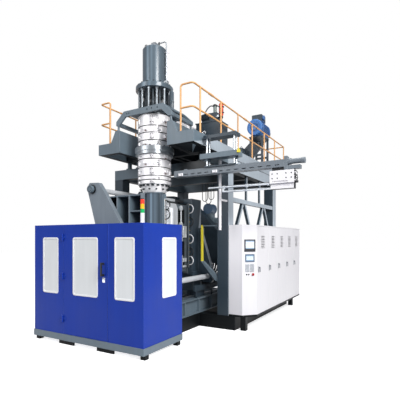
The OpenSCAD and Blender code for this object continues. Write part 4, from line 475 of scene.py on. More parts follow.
# Lug pairs: a folded lip each side of the split, and a screw through both
lip = block("band_lugs", (0.372, -0.016, -0.5), (0.412, -0.004, 0.5), "+x", (0.002, 0.002))
lips = repeat(lip, [(0, 0, 0), (0, 0.020, 0)])
soften(lips, 0.002)
lug_sets, screw_sets, box_sets = [], [], []
for number, (low, high) in enumerate(band_ends):
    middle, tall = (low + high) / 2, (high - low) * 0.78
    aim = spin(-62 + 24 * (number % 2))
    lug_sets.append(aim @ shift(z=middle) @ Matrix.Scale(tall, 4, (0, 0, 1)))
    for lift in ((-0.3, 0.3) if tall > 0.09 else (0,)):
        screw_sets.append(aim @ shift(0.397, 0, middle + lift * tall))
    if tall > 0.08:
        box_sets.append(spin(-14 - 70 * (number % 2)) @ shift(z=middle))
lugs = repeat(lips, lug_sets)
hang(lugs, "frame", "heater_steel", jacket_steel)

# Cap screws through the lugs, M8 with a socket head
screw = drum("lug_screws", (0, -0.034, 0), (0, 0.034, 0), 0.0045, 10)
head = drum("lug_screw_head", (0, -0.038, 0), (0, -0.020, 0), 0.009, 12, "-y", (0.003, 0.0), (0.0005, -0.006))
nut = drum("lug_screw_nut", (0, 0.016, 0), (0, 0.027, 0), 0.010, 6, "+y", (0.003, 0.001))
screws = repeat(join("lug_screws", [screw, head, nut]), screw_sets)
hang(screws, "frame", *in_oxide, 0.0008)

# Terminal boxes: folded sheet lid over a ceramic block, with a gland for the leads below
box = block("terminal_boxes", (0.376, -0.045, -0.030), (0.424, 0.045, 0.040),
            "+x", (0.004, 0.0), (0.001, 0.006), (0.006, 0.0), (0.001, -0.002))
soften(box, 0.002, 2)
boxes = repeat(box, box_sets)
hang(boxes, "frame", "heater_steel", jacket_steel)
gland = drum("lead_glands", (0.402, 0.0, -0.058), (0.402, 0.0, -0.028), 0.011, 16, "-z", (0.003, 0.006), (0.002, 0.0))
collar = drum("gland_nut", (0.402, 0.0, -0.044), (0.402, 0.0, -0.034), 0.016, 6, "-z", (0.003, 0.001))
glands = repeat(join("lead_glands", [gland, collar]), box_sets)
ceramic_brown = enamel("brown glazed ceramic", "#7A6258", "#A39086", 0.3)
hang(glands, "frame", "screen_plastic", ceramic_brown, 0.001)

# Thermocouples: bayonet sleeves screwed into the jackets, between the lugs
probe = drum("thermocouples", (0.376, 0, 0), (0.452, 0, 0), 0.006, 12, "+x", (0.001, 0.004), (0.002, 0.0))
hexagon = drum("thermocouple_hexagon", (0.378, 0, 0), (0.394, 0, 0), 0.013, 6, "+x", (0.003, 0.002))
probes = repeat(join("thermocouples", [probe, hexagon]),
                [spin(-104 + 62 * (k % 2)) @ shift(z=(low + high) / 2) for k, (low, high) in enumerate(band_ends)])
hang(probes, "frame", "ground_steel", ground_steel, 0.0008)

# Glass cord rings pack the gap between one jacket and the next, near black as painted shade in the seams
seams = [3.328, 3.421, 3.612, 3.797, 4.213, 4.383, 4.539]
ring = drum("jacket_seams", (0, 0, -0.011), (0, 0, 0.011), 0.3815, 48, "z", (0.012, 0.002))
rings = repeat(ring, [(0, 0, z) for z in seams])
seam_shade_cord = enamel("near black glass cord as painted shade", "#26282A", "#4A4A48", 0.8, 0.85, 0.005)
hang(rings, "frame", "black_bolts", seam_shade_cord, 0.002, 2)

# Clamp ring of the die: steel teeth round its rim, and under them adjusting screws with lock nuts
tooth = block("die_clamp_teeth", (0.325, -0.030, 3.196), (0.350, 0.030, 3.232), "+x", (0.004, 0.003))
teeth = repeat(tooth, [spin(20 * k) for k in range(18)])
hang(teeth, "frame", *in_oxide, 0.002)
set_screw = drum("die_set_screws", (0.295, 0, 3.13), (0.345, 0, 3.13), 0.011, 10, "+x", (0.003, 0.0), (0.001, -0.006))
lock_nut = drum("die_lock_nut", (0.296, 0, 3.13), (0.318, 0, 3.13), 0.021, 6, "+x", (0.004, 0.002))
set_screws = repeat(join("die_set_screws", [set_screw, lock_nut]), [spin(30 * k + 15) for k in range(12)])
hang(set_screws, "frame", *in_oxide, 0.001)

# Black spacer tubes, each with a thick sleeve near its foot, stand behind the bright cage rods; their dark grey is
# partly their own paint and partly painted shade inside the cage
tube_ring = 0.295
tube = drum("cage_tubes", (tube_ring, 0, 4.935), (tube_ring, 0, 5.395), 0.020, 14, "z", (0.005, 0.003))
sleeve = drum("tube_sleeve", (tube_ring, 0, 5.02), (tube_ring, 0, 5.14), 0.030, 14, "z", (0.006, 0.008))
tubes = repeat(join("cage_tubes", [tube, sleeve]), [spin(30 * k) for k in range(12)])
tube_steel = enamel("phosphated spacer tube", "#3E474E", "#6B757D", 0.4)
hang(tubes, "frame", "dark_paint", tube_steel, 0.002)

# The ram's position rule runs up the cylinder on three stand-off clamps
rule = block("ram_rule", (0.300, 0.030, 5.56), (0.345, 0.075, 6.34), "+x", (0.006, 0.0), (0.001, -0.006))
soften(rule, 0.004, 2)
clamp = block("rule_clamp", (0.262, 0.022, -0.018), (0.352, 0.083, 0.018), "+x", (0.006, 0.002))
clamps = repeat(clamp, [(0, 0, z) for z in (5.62, 5.95, 6.28)])
soften(clamps, 0.003, 2)
rule = join("ram_rule", [rule, clamps])
white_coat = enamel("white powder coat", "#F3F1F3", "#FFFFFF", 0.45, 0.985, 0.006)
hang(rule, "frame", "white_paint", white_coat)

# Nitrogen backup tube of the ram: a slate tube on the yoke, with a stepped cap and a band round it
tube_x, tube_y = 0.462, 0.030
tube = drum("backup_tube", (tube_x, tube_y, 4.930), (tube_x, tube_y, 5.330), 0.050, 32,
            "+z", (0.006, 0.004), (0.012, 0.0), (0.001, 0.016), (0.010, 0.010))
band = drum("tube_band", (tube_x, tube_y, 5.10), (tube_x, tube_y, 5.125), 0.054, 32, "z", (0.004, 0.001))
tube = join("backup_tube", [tube, band])
# Its glossy slate carries the painted reflection bands of the ram cylinder
hang(tube, "frame", "grey_paint", gloss_slate, 0.002)

# Extruder
# A nitrided barrel under a white sheet cover with louvres, a cast gearbox on a foot
# plate, and above it the blue cast motor that drives it through a guarded belt.
dress(white_coat, "barrel_cover")
dress(dark_enamel, "gearbox", "belt_guard")
motor_enamel = enamel("motor blue enamel", "#3F70AE", "#8FB0D4", 0.38)
dress(motor_enamel, "drive_motor")
motor_x, motor_z, motor_radius = 0.74, 5.66, 0.262
# The blower on top is dark, and the shaft bare
touch_up("drive_motor", dark_enamel, lambda c, n: c.z > motor_z + motor_radius and abs(c.x - motor_x) < 0.2)
touch_up("drive_motor", ground_steel, lambda c, n: c.y > 5.23)

# Fan cowl of the motor: a pressed cap with a ring of slots
cowl = drum("fan_cowl", (motor_x, 4.400, motor_z), (motor_x, 4.438, motor_z), motor_radius, 48,
            "-y", (0.020, 0.012), (0.060, 0.0), (0.003, -0.008), (0.050, 0.0), (0.003, 0.008))
hang(cowl, "frame", "motor_paint", motor_enamel, 0.003, 2)
slot = block("cowl_slots", (motor_x - 0.006, 4.3845, motor_z + 0.085), (motor_x + 0.006, 4.3900, motor_z + 0.140),
             "-y", (0.002, 0.0005))
slots = repeat(slot, [spin(15 * k, "Y", (motor_x, 0, motor_z)) for k in range(24)])
hang(slots, "frame", *in_oxide)

# Four lifting eyes forged from round bar stand on the gearbox
bpy.ops.mesh.primitive_torus_add(major_segments=24, minor_segments=10, major_radius=0.028, minor_radius=0.008,
                                 location=(0, 0, 0.040), rotation=(math.radians(90), 0, 0))
eye = settle("lifting_eyes")
stem = drum("eye_stem", (0, 0, 0.0), (0, 0, 0.016), 0.018, 16, "+z", (0.005, 0.004))
eyes = repeat(join("lifting_eyes", [eye, stem]), [(x, y, 5.058) for y in (4.56, 5.04) for x in (-0.20, 0.20)])
hang(eyes, "frame", *in_oxide, 0.002)

# Hydraulic station
# A folded steel oil tank carries a lying motor pump, a drilled valve block with an upright
# pressure filter, and a forged nitrogen bottle in red-orange enamel on its stand.
dress(dark_enamel, "oil_tank", "pump_unit")
moulded_black = enamel("black moulded plastic", "#1C1E21", "#3C3F43", 0.5)
filter_enamel = enamel("grey-green filter enamel", "#8F9C97", "#B8C2BE", 0.35)
# The upright filter has a black head, and the ends of the valve spools are bare
touch_up("pump_unit", filter_enamel, lambda c, n: c.z > 5.06 and c.x > 0.99)
touch_up("pump_unit", moulded_black, lambda c, n: c.z > 5.2095 and c.x > 0.99)
touch_up("pump_unit", ground_steel, lambda c, n: c.x > 1.1180)
bottle_enamel = enamel("red-orange bottle enamel", "#E4502E", "#F09A80", 0.3)
dress(bottle_enamel, "accumulator_bottle")
touch_up("accumulator_bottle", dark_enamel, lambda c, n: c.z < 5.04)

# Tank lid screws, a filler cap with a ribbed rim, and a sight glass on the front wall
screw = drum("tank_screws", (0, 0, 4.848), (0, 0, 4.856), 0.010, 6, "+z", (0.003, 0.001))
screws = repeat(screw, [(x, y, 0) for x in (0.565, 0.79, 1.01, 1.212) for y in (0.942, 1.398)]
                + [(x, y, 0) for x in (0.562, 1.213) for y in (1.09, 1.25)])
hang(screws, "frame", *in_oxide, 0.0008)
glass = drum("oil_sight_glass", (0.80, 0.949, 4.60), (0.80, 0.928, 4.60), 0.045, 24,
             "-y", (0.010, 0.003), (0.004, -0.006))
cap = drum("filler_cap", (0.63, 1.30, 4.848), (0.63, 1.30, 4.902), 0.040, 20, "+z", (0.006, 0.006), (0.010, -0.003))
press(cap, lambda c, n: abs(n.z) < 0.1, (0.002, 0.002))
fittings = join("tank_fittings", [glass, cap])
hang(fittings, "frame", "chrome", hard_chrome, 0.001)

# Solenoid coils plug onto the three valve spools, and the pump motor has a ribbed shell
coil = block("valve_coils", (1.172, 0.983, 4.936), (1.200, 1.032, 4.990),
             "+x", (0.008, 0.0), (0.001, 0.012), (0.006, 0.0))
soften(coil, 0.003, 2)
coils = repeat(coil, [(0, 0.06 * k, 0) for k in range(3)])
hang(coils, "frame", "screen_plastic", moulded_black)
rib = block("pump_ribs", (0.715, 1.0535, 5.066), (0.925, 1.0565, 5.0835), "+z", (0.0008, 0.001))
ribs = repeat(rib, [spin(15 * k, "X", (0, 1.055, 4.988)) for k in range(24)])
hang(ribs, "frame", "dark_paint", dark_enamel)

# Bottle straps: two rolled steel bands, each closed by a screw lug
bottle_x, bottle_y = 1.084, 1.289
strap = drum("bottle_strap", (bottle_x, bottle_y, 5.12), (bottle_x, bottle_y, 5.145), 0.0585, 32,
             "z", (0.004, 0.001))
lug = block("strap_lug", (1.140, 1.279, 5.118), (1.160, 1.299, 5.147), "+x", (0.005, 0.0), (0.001, 0.004))
straps = repeat(join("bottle_straps", [strap, lug]), [(0, 0, dz) for dz in (0.0, 0.14)])
hang(straps, "frame", *in_oxide, 0.002)


def hose(name, points, diameter, body, slot, material, stiffness="medium", lay="hanging"):
    """A free hose through the points, drawn as one smooth spline."""
    steps = 4
    ends = [Vector(p) for p in points]
    ends = [2 * ends[0] - ends[1]] + ends + [2 * ends[-1] - ends[-2]]
    line = []
    for k in range(1, len(ends) - 2):
        a, b, c, d = ends[k - 1:k + 3]
        for step in range(steps):
            t = step / steps
            line.append(0.5 * (2 * b + (c - a) * t + (2 * a - 5 * b + 4 * c - d) * t * t
                               + (3 * b - a - 3 * c + d) * t * t * t))
    line.append(ends[-2])
    curve = bpy.data.curves.new(name, "CURVE")
    curve.dimensions = "3D"
    curve.bevel_depth = diameter / 2
    curve.bevel_resolution = 3
    curve.use_fill_caps = True
    spline = curve.splines.new("POLY")
    spline.points.add(len(line) - 1)
    for point, at in zip(spline.points, line):
        point.co = (*at, 1)
    curve.materials.append(material)
    made = bpy.data.objects.new(name, curve)
    scene.collection.objects.link(made)
    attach(made, body)


def half_circle(centre, first, second):
    """Nine points of a half circle from centre + first through centre + second to centre - first."""
    centre, first, second = Vector(centre), Vector(first), Vector(second)
    turns = [math.pi * k / 8 for k in range(9)]
    return [tuple(centre + first * math.cos(t) + second * math.sin(t)) for t in turns]


# Two black rubber hoses arch from the filter, one to the pump and one to the tank
rubber = enamel("black hose rubber", "#17191B", "#3A3D40", 0.55, 0.95, 0.006)
in_rubber = ("black_bolts", rubber)
hose("filter_hose_left", [(1.000, 1.035, 5.235), (0.93, 1.02, 5.245), (0.86, 1.0, 5.19), (0.80, 0.99, 5.10),
                          (0.79, 0.985, 5.055)], 0.026, "frame", *in_rubber, "stiff", "loose")
hose("filter_hose_right", [(1.094, 1.050, 5.235), (1.15, 1.09, 5.20), (1.165, 1.12, 5.10), (1.165, 1.13, 4.98),
                           (1.165, 1.135, 4.850)], 0.026, "frame", *in_rubber, "stiff", "loose")

# Front guard
# Folded 2 mm sheet on a welded frame, powder coated blue, on a grey base channel. The
# panes are milky polycarbonate held by white rubber beading, and the door has a bow handle.
blue_coat = enamel("blue powder coat", "#1439A2", "#4464C4", 0.38, 0.96, 0.006, specular=0.2)
dress(blue_coat, "guard_left_panel", "guard_right_panel", "guard_door")
dress(slate_enamel, "guard_base")
touch_up("guard_base", chassis_black, lambda c, n: c.z < 0.079)
pane_plastic = enamel("milky polycarbonate", "#ECEFEF", "#FFFFFF", 0.16, 0.97)
white_rubber = enamel("white rubber beading", "#FFFFFF", "#FFFFFF", 0.6, 0.99, 0.004)
dress(pane_plastic, "guard_windows", "door_window")
for panes in ("guard_windows", "door_window"):
    touch_up(panes, white_rubber, lambda c, n: c.y < -2.1305 or abs(c.x) > 1.3855)
touch_up("guard_door", moulded_black, lambda c, n: c.y < -2.1305 and c.x > 0.3)

# Door seams are closed by a pressed cover strip, riveted to the door frame post
strip = block("guard_strips", (-0.012, -2.1305, 0.215), (0.012, -2.1285, 2.262), "-y", (0.003, 0.0025))
soften(strip, 0.001)
posts = (0.6035, -1.365)
strip = repeat(strip, [(x, 0, 0) for x in posts])
hang(strip, "frame", "blue_paint", blue_coat)
rivet = drum("guard_rivets", (0, -2.1298, 0), (0, -2.1345, 0), 0.007, 12, "-y", (0.003, 0.0015))
heights = [0.30 + 0.27 * k for k in range(8)]
rivets = repeat(rivet, [(x, 0, z) for x in posts for z in heights])
side = drum("side_rivets", (1.3848, 0, 0), (1.3890, 0, 0), 0.007, 12, "+x", (0.003, 0.0015))
sides = repeat(side, [(0, y, z) for y in (-2.095, -1.010) for z in heights])
rivets = join("guard_rivets", [rivets, sides])
hang(rivets, "frame", "blue_paint", blue_coat)

# Door lock: an escutcheon plate under the handle with its key cylinder
plate = block("door_lock", (0.470, -2.1330, 1.235), (0.530, -2.1302, 1.325), "-y", (0.004, 0.0015))
key = drum("key_cylinder", (0.500, -2.1310, 1.28), (0.500, -2.1420, 1.28), 0.013, 20,
           "-y", (0.004, 0.0), (0.001, -0.003))
lock = join("door_lock", [plate, key])
hang(lock, "guard_door", "chrome", hard_chrome, 0.001)

# Signal tower: screwed tinted lenses over a white tube, green, amber and red going up
dress(white_coat, "signal_tower")
tower_low, tower_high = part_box("signal_tower")
first_lens = tower_low.z + 0.160
lens_height = (tower_high.z - 0.014 - first_lens) / 3
for place, name, tint, worn in ((0, "green lens", "#12A85C", "#7FD8AE"), (1, "amber lens", "#F0B41E", "#F8D880"),
                                (2, "red lens", "#E8402C", "#F4958A")):
    lens = enamel(name, tint, worn, 0.12, 0.97, 0.02)
    feed(inside(lens)[1], {"Emission Strength": 0.25, "Emission Color": colour(tint)})
    low = first_lens + place * lens_height - 0.0005
    high = low + lens_height + 0.001
    touch_up("signal_tower", lens, lambda c, n: low < c.z < high)
touch_up("signal_tower", moulded_black, lambda c, n: c.z > tower_high.z - 0.0142)

# Control cabinets
# A row of five folded steel cabinets and a console with a slanting corner, all powder
# coated white, on a black plinth. Doors hang on pivot pins and lock with grey L handles.
dress(white_coat, "cabinet_row", "console_body")
handle_grey = enamel("grey moulded handle", "#7C8086", "#A4A8AE", 0.4)
for number in range(1, 6):
    door = f"cabinet_door_{number}"
    dress(white_coat, door)
    touch_up(door, handle_grey, lambda c, n: c.x > 2.2405)
screen_black = enamel("dark moulded bezel", "#2A2D33", "#50555C", 0.45)
key_grey = enamel("pale grey key sheet", "#C6CAD0", "#E2E4E8", 0.5)
bezel_blue = enamel("grey-blue moulded bezel", "#5F7389", "#8899AA", 0.45)
dress(screen_black, "console_panels", "left_selector", "right_selector")
red_plastic = enamel("red moulded plastic", "#B01E2A", "#D8606A", 0.28)
dress(red_plastic, "stop_button")
# The console's slanting side runs 0.240 m in x over 0.270 m in y
console_slant = math.atan2(0.270, 0.240)
from_console = (shift(2.12, 0.615) @ Matrix.Rotation(console_slant, 4, "Z")).inverted()
touch_up("console_panels", bezel_blue, lambda c, n: 1.499 < c.z < 1.671)
touch_up("console_panels", key_grey, lambda c, n: c.z < 1.46)


def display(name, lit, ink, low, high):
    """A lit flat display: a pale sheet with a grid of drawn fields, a title bar above and a key bar below."""
    made, tree, shader, where = fresh(name)
    turned = put(tree, "ShaderNodeMapping", {"Vector": where, "Rotation": (0, 0, -console_slant)})
    upright = put(tree, "ShaderNodeMapping", {"Vector": turned.outputs[0], "Rotation": (math.radians(90), 0, 0)})
    # Fields are 36 mm wide and 28 mm high, ruled off by 2 mm
    fields = put(tree, "ShaderNodeTexBrick", {"Vector": upright.outputs[0], "Color1": colour(lit),
                                              "Color2": colour(lit), "Mortar": colour(ink), "Scale": 1.0,
                                              "Mortar Size": 0.002, "Brick Width": 0.036, "Row Height": 0.028})
    height = put(tree, "ShaderNodeSeparateXYZ", {0: where}).outputs["Z"]
    title = reckon(tree, "GREATER_THAN", height, high - 0.022)
    keys = reckon(tree, "LESS_THAN", height, low + 0.018)
    drawn = blend(tree, reckon(tree, "MAXIMUM", title, keys), fields.outputs["Color"], colour(ink))
    feed(shader, {"Base Color": drawn, "Emission Color": drawn, "Emission Strength": 0.35, "Roughness": 0.12})
    return made


upper_display = display("lit upper display", "#E4ECF4", "#8FA6BE", 1.787, 1.965)
lower_display = display("lit lower display", "#DCE8F2", "#7F9AB4", 1.524, 1.646)
touch_up("console_panels", upper_display, lambda c, n: abs((from_console @ c).y + 0.008) < 0.001 and c.z > 1.78)
touch_up("console_panels", lower_display,
         lambda c, n: abs((from_console @ c).y + 0.007) < 0.001 and 1.52 < c.z < 1.65)

# Clamp platens
# Welded ribbed plates in grey enamel, the front one with a round polished column and a
# diagonal arm plate in a lighter grey, the rear one and the pull plate in dark enamel.
dress(slate_enamel, "front_platen", "clamp_cylinder")
dress(dark_enamel, "rear_platen", "pull_plate")
arm_enamel = enamel("mid grey arm enamel", "#7C868E", "#A9B3BB", 0.36)
# The arm plate stands off the plate behind it, whose recess gets painted shade
touch_up("front_platen", arm_enamel, lambda c, n: c.y < -0.859 and (n.y < -0.5 or c.y > -0.9699))
touch_up("front_platen", painted_shade_enamel, lambda c, n: -0.5205 < c.y < -0.5195 and c.x < 0.29)
column_enamel = enamel("polished column enamel with painted reflections", "#53616C", "#8C99A3", 0.10, 0.96, 0.03)
column_x, column_y, column_radius = 0.545, -0.725, 0.1735
# Painted reflections on the round column: light and dark bands round its axis
bands(column_enamel, column_x, column_y, [(-77, 13, 1.5), (-50, 8, 0.3), (-20, 24, -0.5), (28, 14, 0.6)])
touch_up("front_platen", column_enamel, lambda c, n: abs(n.z) < 0.3
         and (c.x - column_x) ** 2 + (c.y - column_y) ** 2 < column_radius ** 2)
pump_enamel = enamel("blue-grey motor enamel", "#4C6784", "#8AA0B8", 0.4)
touch_up("clamp_cylinder", pump_enamel, lambda c, n: c.z > 2.7350)
tie_steel = ground_metal("ground tie bar steel", "#DDE0E3", 0.42, (1 / 0.2, 1 / 0.02, 1 / 0.2), 0.05, 0.35)
dress(tie_steel, "tie_bars")
# The nuts are painted, and the front ones sit on black collars
touch_up("tie_bars", slate_enamel, lambda c, n: c.y < -0.998 or c.y > 2.2505)
touch_up("tie_bars", black_oxide, lambda c, n: -0.9985 < c.y < -0.9695)
# Painted light on the lit right side of the rear platen
touch_up("rear_platen", painted_light_enamel, lambda c, n: c.y > 0.78 and c.x > 0.74 and n.x > 0.9)

# The nuts of the two tie bars are locked by rings of eight socket screws
tie_bar_axes = ((-0.990, 3.108), (0.990, 1.121))
screw = drum("nut_screws", (0, -1.0585, 0.055), (0, -1.0660, 0.055), 0.009, 12, "-y", (0.002, 0.0), (0.002, -0.004))
screws = repeat(screw, [shift(x, 0, z) @ spin(45 * k, "Y") for x, z in tie_bar_axes for k in range(8)])
hang(screws, "front_clamp", *in_oxide)

# Mould clamps: four bolted straps hold the front mould half to its platen along the upper edge
strap = block("mould_straps", (-0.03, -0.452, 2.800), (0.03, -0.3995, 2.868), "+z", (0.006, 0.006))
stud = drum("strap_stud", (0, -0.428, 2.870), (0, -0.428, 2.892), 0.014, 6)
strap = join("mould_straps", [strap, stud])
soften(strap, 0.002)
straps = repeat(strap, [(x, 0, 0) for x in (-0.5, -0.25, 0.25, 0.5)])
hang(straps, "front_clamp", *in_oxide)

# A folded cable tray runs along the bed girder on three sheet feet
tray = block("bed_tray", (0.862, 0.30, 0.800), (0.925, 1.96, 0.925), "+z", (0.004, 0.0), (0.001, -0.10))
foot = block("tray_feet", (0.880, -0.02, 0.640), (0.907, 0.02, 0.801))
feet = repeat(foot, [(0, y, 0) for y in (0.40, 1.13, 1.86)])
tray = join("bed_tray", [tray, feet])
hang(tray, "frame", "dark_paint", dark_enamel, 0.002)

# A folded splash sheet closes the end of the bed behind the pull plate, coloured with painted shade
sheet = block("bed_splash", (-0.70, 2.680, 0.6395), (0.70, 2.698, 0.800), "y", (0.012, 0.0), (0.001, -0.004))
hang(sheet, "frame", "dark_paint", painted_shade_enamel, 0.002)

# Drain hoses of the clamp cylinder hang in loops under it, and service hoses loop under the lower frame
cylinder_z, cylinder_radius = 2.1145, 0.21
for k, x in enumerate((0.02, 0.10, 0.18)):
    top = cylinder_z - math.sqrt(cylinder_radius ** 2 - x ** 2) - 0.004
    hose(f"drain_hose_{k + 1}",
         [(x, 2.38, top), (x, 2.38, 1.55)] + half_circle((x, 2.63, 1.27), (0, -0.25, 0), (0, 0, -0.25))
         + [(x, 2.88, 1.55), (x, 2.88, top)],
         0.060, "front_clamp", *in_rubber)
for k, (x, y, low) in enumerate(((0.10, 2.08, 3.05), (0.19, 2.12, 2.98), (0.26, 2.16, 3.10))):
    hose(f"service_hose_{k + 1}",
         [(x, y, 3.556), (x, y, 3.35)] + half_circle((x + 0.08, y, low + 0.08), (-0.08, 0, 0), (0, 0, -0.08))
         + [(x + 0.16, y, 3.35), (x + 0.16, y, 3.556)],
         0.019, "frame", *in_rubber)

# Drum mould
# Two milled aluminium halves with steel guide pins, cooling water drilled through them, and
# rubber and nylon hoses looping from one cooling circuit to the next down the right side.
mould_alloy = ground_metal("milled aluminium", "#DDE0E2", 0.34, (1 / 0.3, 1 / 0.3, 1 / 0.010), 0.05, 0.55)
dress(mould_alloy, "front_mould", "rear_mould")
pocket_painted_shade = enamel("black painted shade in pockets and grooves", "#15181B", "#34383C", 0.6)
backing_steel = ground_metal("phosphated backing steel", "#5C6469", 0.5, (1 / 0.2, 1 / 0.2, 1 / 0.05), 0.1, 0.4)
# The rear half has a steel backing plate, and all grooves and side pockets are black as painted shade
touch_up("rear_mould", backing_steel, lambda c, n: c.z < 2.77 and (c.y > 0.08 or abs(n.y) > 0.5))
touch_up("rear_mould", pocket_painted_shade, lambda c, n: 0.535 < abs(c.x) < 0.599 and c.y > 0.06)
for half in ("front_mould", "rear_mould"):
    touch_up(half, pocket_painted_shade, lambda c, n: abs(n.z) < 0.5 and 2.7905 < c.z < 2.8395)
    touch_up(half, pocket_painted_shade, lambda c, n: 0.584 < abs(c.x) < 0.5995 and abs(n.z) < 0.5 and c.y * n.y <= 0.01
             and (2.035 < c.z < 2.07 or 2.245 < c.z < 2.28))

# Cooling fins stand in the side pockets of the rear half: sawn from flat bar, welded in
fin = block("mould_fins", (0.543, 0.09, 0), (0.592, 0.330, 0.010), "+x", (0.002, 0.002))
fins = repeat(fin, [(0, 0, foot + 0.045 * k) for foot in (1.630, 2.385) for k in range(7)])
hang(fins, "rear_clamp", *in_oxide)

# Water manifolds: a bar on each mould half with a row of brass hose nipples
brass = ground_metal("turned brass", "#B79A55", 0.3, (1 / 0.004, 1 / 0.1, 1 / 0.1))
for half, low, high, finish in (("front", (0.6405, -0.512, 2.28), (0.654, -0.468, 2.86), mould_alloy),
                                ("rear", (0.652, 0.400, 1.34), (0.688, 0.4395, 2.84), backing_steel)):
    bar = block(f"{half}_manifold", low, high, "z", (0.004, 0.003))
    hang(bar, f"{half}_clamp", "mould_aluminium", finish, 0.002)
for half, x, y, seat, neck, lowest, count in (("front", 0.654, -0.49, 0.006, 0.010, 2.32, 6),
                                              ("rear", 0.688, 0.420, 0.008, 0.016, 1.40, 15)):
    nipple = drum(f"{half}_nipples", (x, y, 0), (x + seat, y, 0), 0.012, 6, "+x", (0.003, 0.0), (0.0005, neck))
    nipples = repeat(nipple, [(0, 0, lowest + 0.1 * k) for k in range(count)])
    hang(nipples, f"{half}_clamp", "chrome", brass)

# Hoses: black rubber water hoses and white compressed air tube, each pushed on its nipple
white_tube = enamel("white nylon tube", "#EDEDEF", "#FFFFFF", 0.3, 0.97, 0.004)
in_nylon = ("window_plastic", white_tube)
for z, name, kind in ((2.82, "a", in_rubber), (2.72, "b", in_nylon), (2.62, "c", in_rubber)):
    hose(f"front_hose_{name}", half_circle((0.664, -0.49, z - 0.10), (0, 0, 0.10), (0.099, 0.014, 0)), 0.024,
         "front_clamp", *kind)
for k, z in enumerate((2.80, 2.50, 2.10, 1.80, 1.60)):
    hose(f"rear_hose_{k + 1}", half_circle((0.700, 0.420, z - 0.10), (0, 0, 0.10), (0.10, -0.005, 0)), 0.022,
         "rear_clamp", *(in_rubber if k % 2 else in_nylon))

# An ejector rod runs up the side of the rear half in six sawn alloy clamp blocks
rod = drum("ejector_rods", (0.628, 0.160, 1.36), (0.628, 0.160, 2.76), 0.017, 16, "z", (0.003, 0.002))
clamp = block("ejector_clamp", (0.6005, 0.125, -0.045), (0.652, 0.195, 0.045), "z", (0.004, 0.002))
clamps = repeat(clamp, [(0, 0, z) for z in (1.45, 1.58, 1.99, 2.15, 2.33, 2.70)])
soften(clamps, 0.002)
rods = join("ejector_rods", [rod, clamps])
hang(rods, "rear_clamp", "mould_aluminium", mould_alloy)

# Milled alloy covers over the cooling circuits stand between the side pockets
covers = [block("circuit_covers", (0.6005, 0.235, low), (0.640, 0.380, high),
                "+x", (0.008, 0.0), (0.001, 0.004), (0.010, 0.0), (0.001, -0.002))
          for low, high in ((2.030, 2.300), (1.470, 1.560), (1.345, 1.390))]
hang(join("circuit_covers", covers), "rear_clamp", "mould_aluminium", mould_alloy, 0.003)

# Take-out robot
# A slotted aluminium beam in grey enamel rises and falls on four chromed rods between dark
# plates, and carries a white carriage plate with two round arms reaching for the drum.
beam_enamel = enamel("mid grey beam enamel", "#6E777F", "#A0A8AF", 0.36)
dress(beam_enamel, "robot_beam")
dress(slate_enamel, "robot_bracket")
touch_up("robot_bracket", white_coat, lambda c, n: c.z < 3.54)
dress(dark_enamel, "lift_frame")
rod_chrome = ground_metal("chromed guide rod", "#C9CED2", 0.30, (1 / 0.05, 1 / 0.05, 1 / 0.002), 0.05)
touch_up("lift_frame", rod_chrome, lambda c, n: abs(n.z) < 0.9 and 3.54 < c.z < 4.095)
dress(white_coat, "take_out_arm")
# The round arms are bare, and the slider behind the carriage plate is black
touch_up("take_out_arm", rod_chrome, lambda c, n: c.x < 2.825)
touch_up("take_out_arm", moulded_black, lambda c, n: c.y > -0.1095 and c.x > 2.84 and n.z < 0.5)

# Clamp screws of the guide rods in the top plates, and the carriage plate's screws
screw = drum("lift_screws", (0, 0, 4.170), (0, 0, 4.179), 0.014, 6, "+z", (0.004, 0.0), (0.002, -0.004))
plates = [corner.x + inward for corner, inward in zip(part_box("lift_frame"), (0.06, -0.06))]
screws = repeat(screw, [(x + dx, y, 0) for x in plates for dx in (-0.035, 0.035) for y in (-0.12, 0.06)])
hang(screws, "robot", *in_oxide)
head = drum("carriage_screws", (0, -0.1275, 0), (0, -0.1425, 0), 0.0115, 20, "-y", (0.003, 0.0), (0.0015, -0.005))
heads = repeat(head, [(x, 0, z) for x in (2.882, 2.982, 3.150, 3.250) for z in (3.230, 3.145)])
hang(heads, "take_out_arm", *in_oxide)

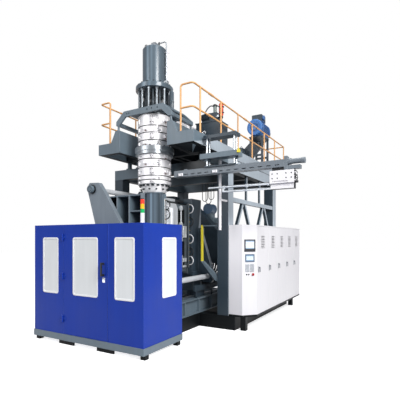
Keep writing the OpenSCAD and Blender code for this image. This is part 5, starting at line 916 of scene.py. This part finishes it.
# Three split collars hold the two arms together, and a rubber stop closes the end of one
collar = drum("arm_collars", (0, -0.03, 0), (0.045, -0.03, 0), 0.036, 32, "x", (0.004, 0.003))
soften(collar, 0.001)
collars = repeat(collar, [(x, 0, 3.075) for x in (1.790, 2.30, 2.75)])
hang(collars, "take_out_arm", "chrome", rod_chrome)
tip = drum("arm_tip", (1.4552, -0.03, 3.075), (1.430, -0.03, 3.075), 0.021, 24, "-x", (0.004, 0.003))
hang(tip, "take_out_arm", *in_rubber)

# End sensors of the carriage stroke: white moulded housings screwed to the beam's front
sensor = block("beam_sensors", (-0.055, -0.132, 3.375), (0.055, -0.1095, 3.435),
               "-y", (0.005, 0.0), (0.001, 0.006), (0.006, 0.0), (0.001, -0.003))
soften(sensor, 0.002)
sensors = repeat(sensor, [(x, 0, 0) for x in (0.80, 1.64)])
hang(sensors, "robot", "white_paint", white_coat)

# Leads of the carriage drive: rubber cables and an air tube loop out of the carriage plate's end
for k, (z, drop) in enumerate(((3.27, 0.12), (3.24, 0.15), (3.20, 0.13), (3.15, 0.12))):
    hose(f"carriage_lead_{k + 1}",
         half_circle((3.302, -0.127, z - drop / 2), (0, 0, drop / 2), (drop / 2, -0.003 * k, 0)), 0.014,
         "take_out_arm", *(("white_paint", white_coat) if k == 1 else in_rubber))

# Light barrier and blow unit
# An extruded post in signal yellow with a lens strip, on a bent slate bracket from the tower
# column, and under the mould the bored housing of the blow pin in dark enamel.
yellow_enamel = enamel("signal yellow enamel", "#F2E032", "#FBF2A0", 0.35)
dress(slate_enamel, "light_curtain")
touch_up("light_curtain", yellow_enamel, lambda c, n: c.x < 1.0025 and c.z > 1.4895)
dress(dark_enamel, "blow_unit")
dress(hard_chrome, "blow_pin")
lens = block("barrier_lens", (0.9575, 0.508, 1.54), (0.9545, 0.532, 2.27), "-x", (0.003, 0.001))
hang(lens, "frame", "screen_plastic", screen_black)

# Yellow limit switch on the robot's guide head: a moulded body with its roller plunger
switch = block("lift_switch", (2.1705, -0.180, 3.725), (2.225, -0.130, 3.785), "-y", (0.006, 0.0), (0.001, -0.004))
plunger = drum("switch_plunger", (2.198, -0.155, 3.783), (2.198, -0.155, 3.812), 0.010, 16, "+z", (0.003, 0.002))
switch = join("lift_switch", [switch, plunger])
hang(switch, "frame", "yellow_paint", yellow_enamel, 0.002, 2)
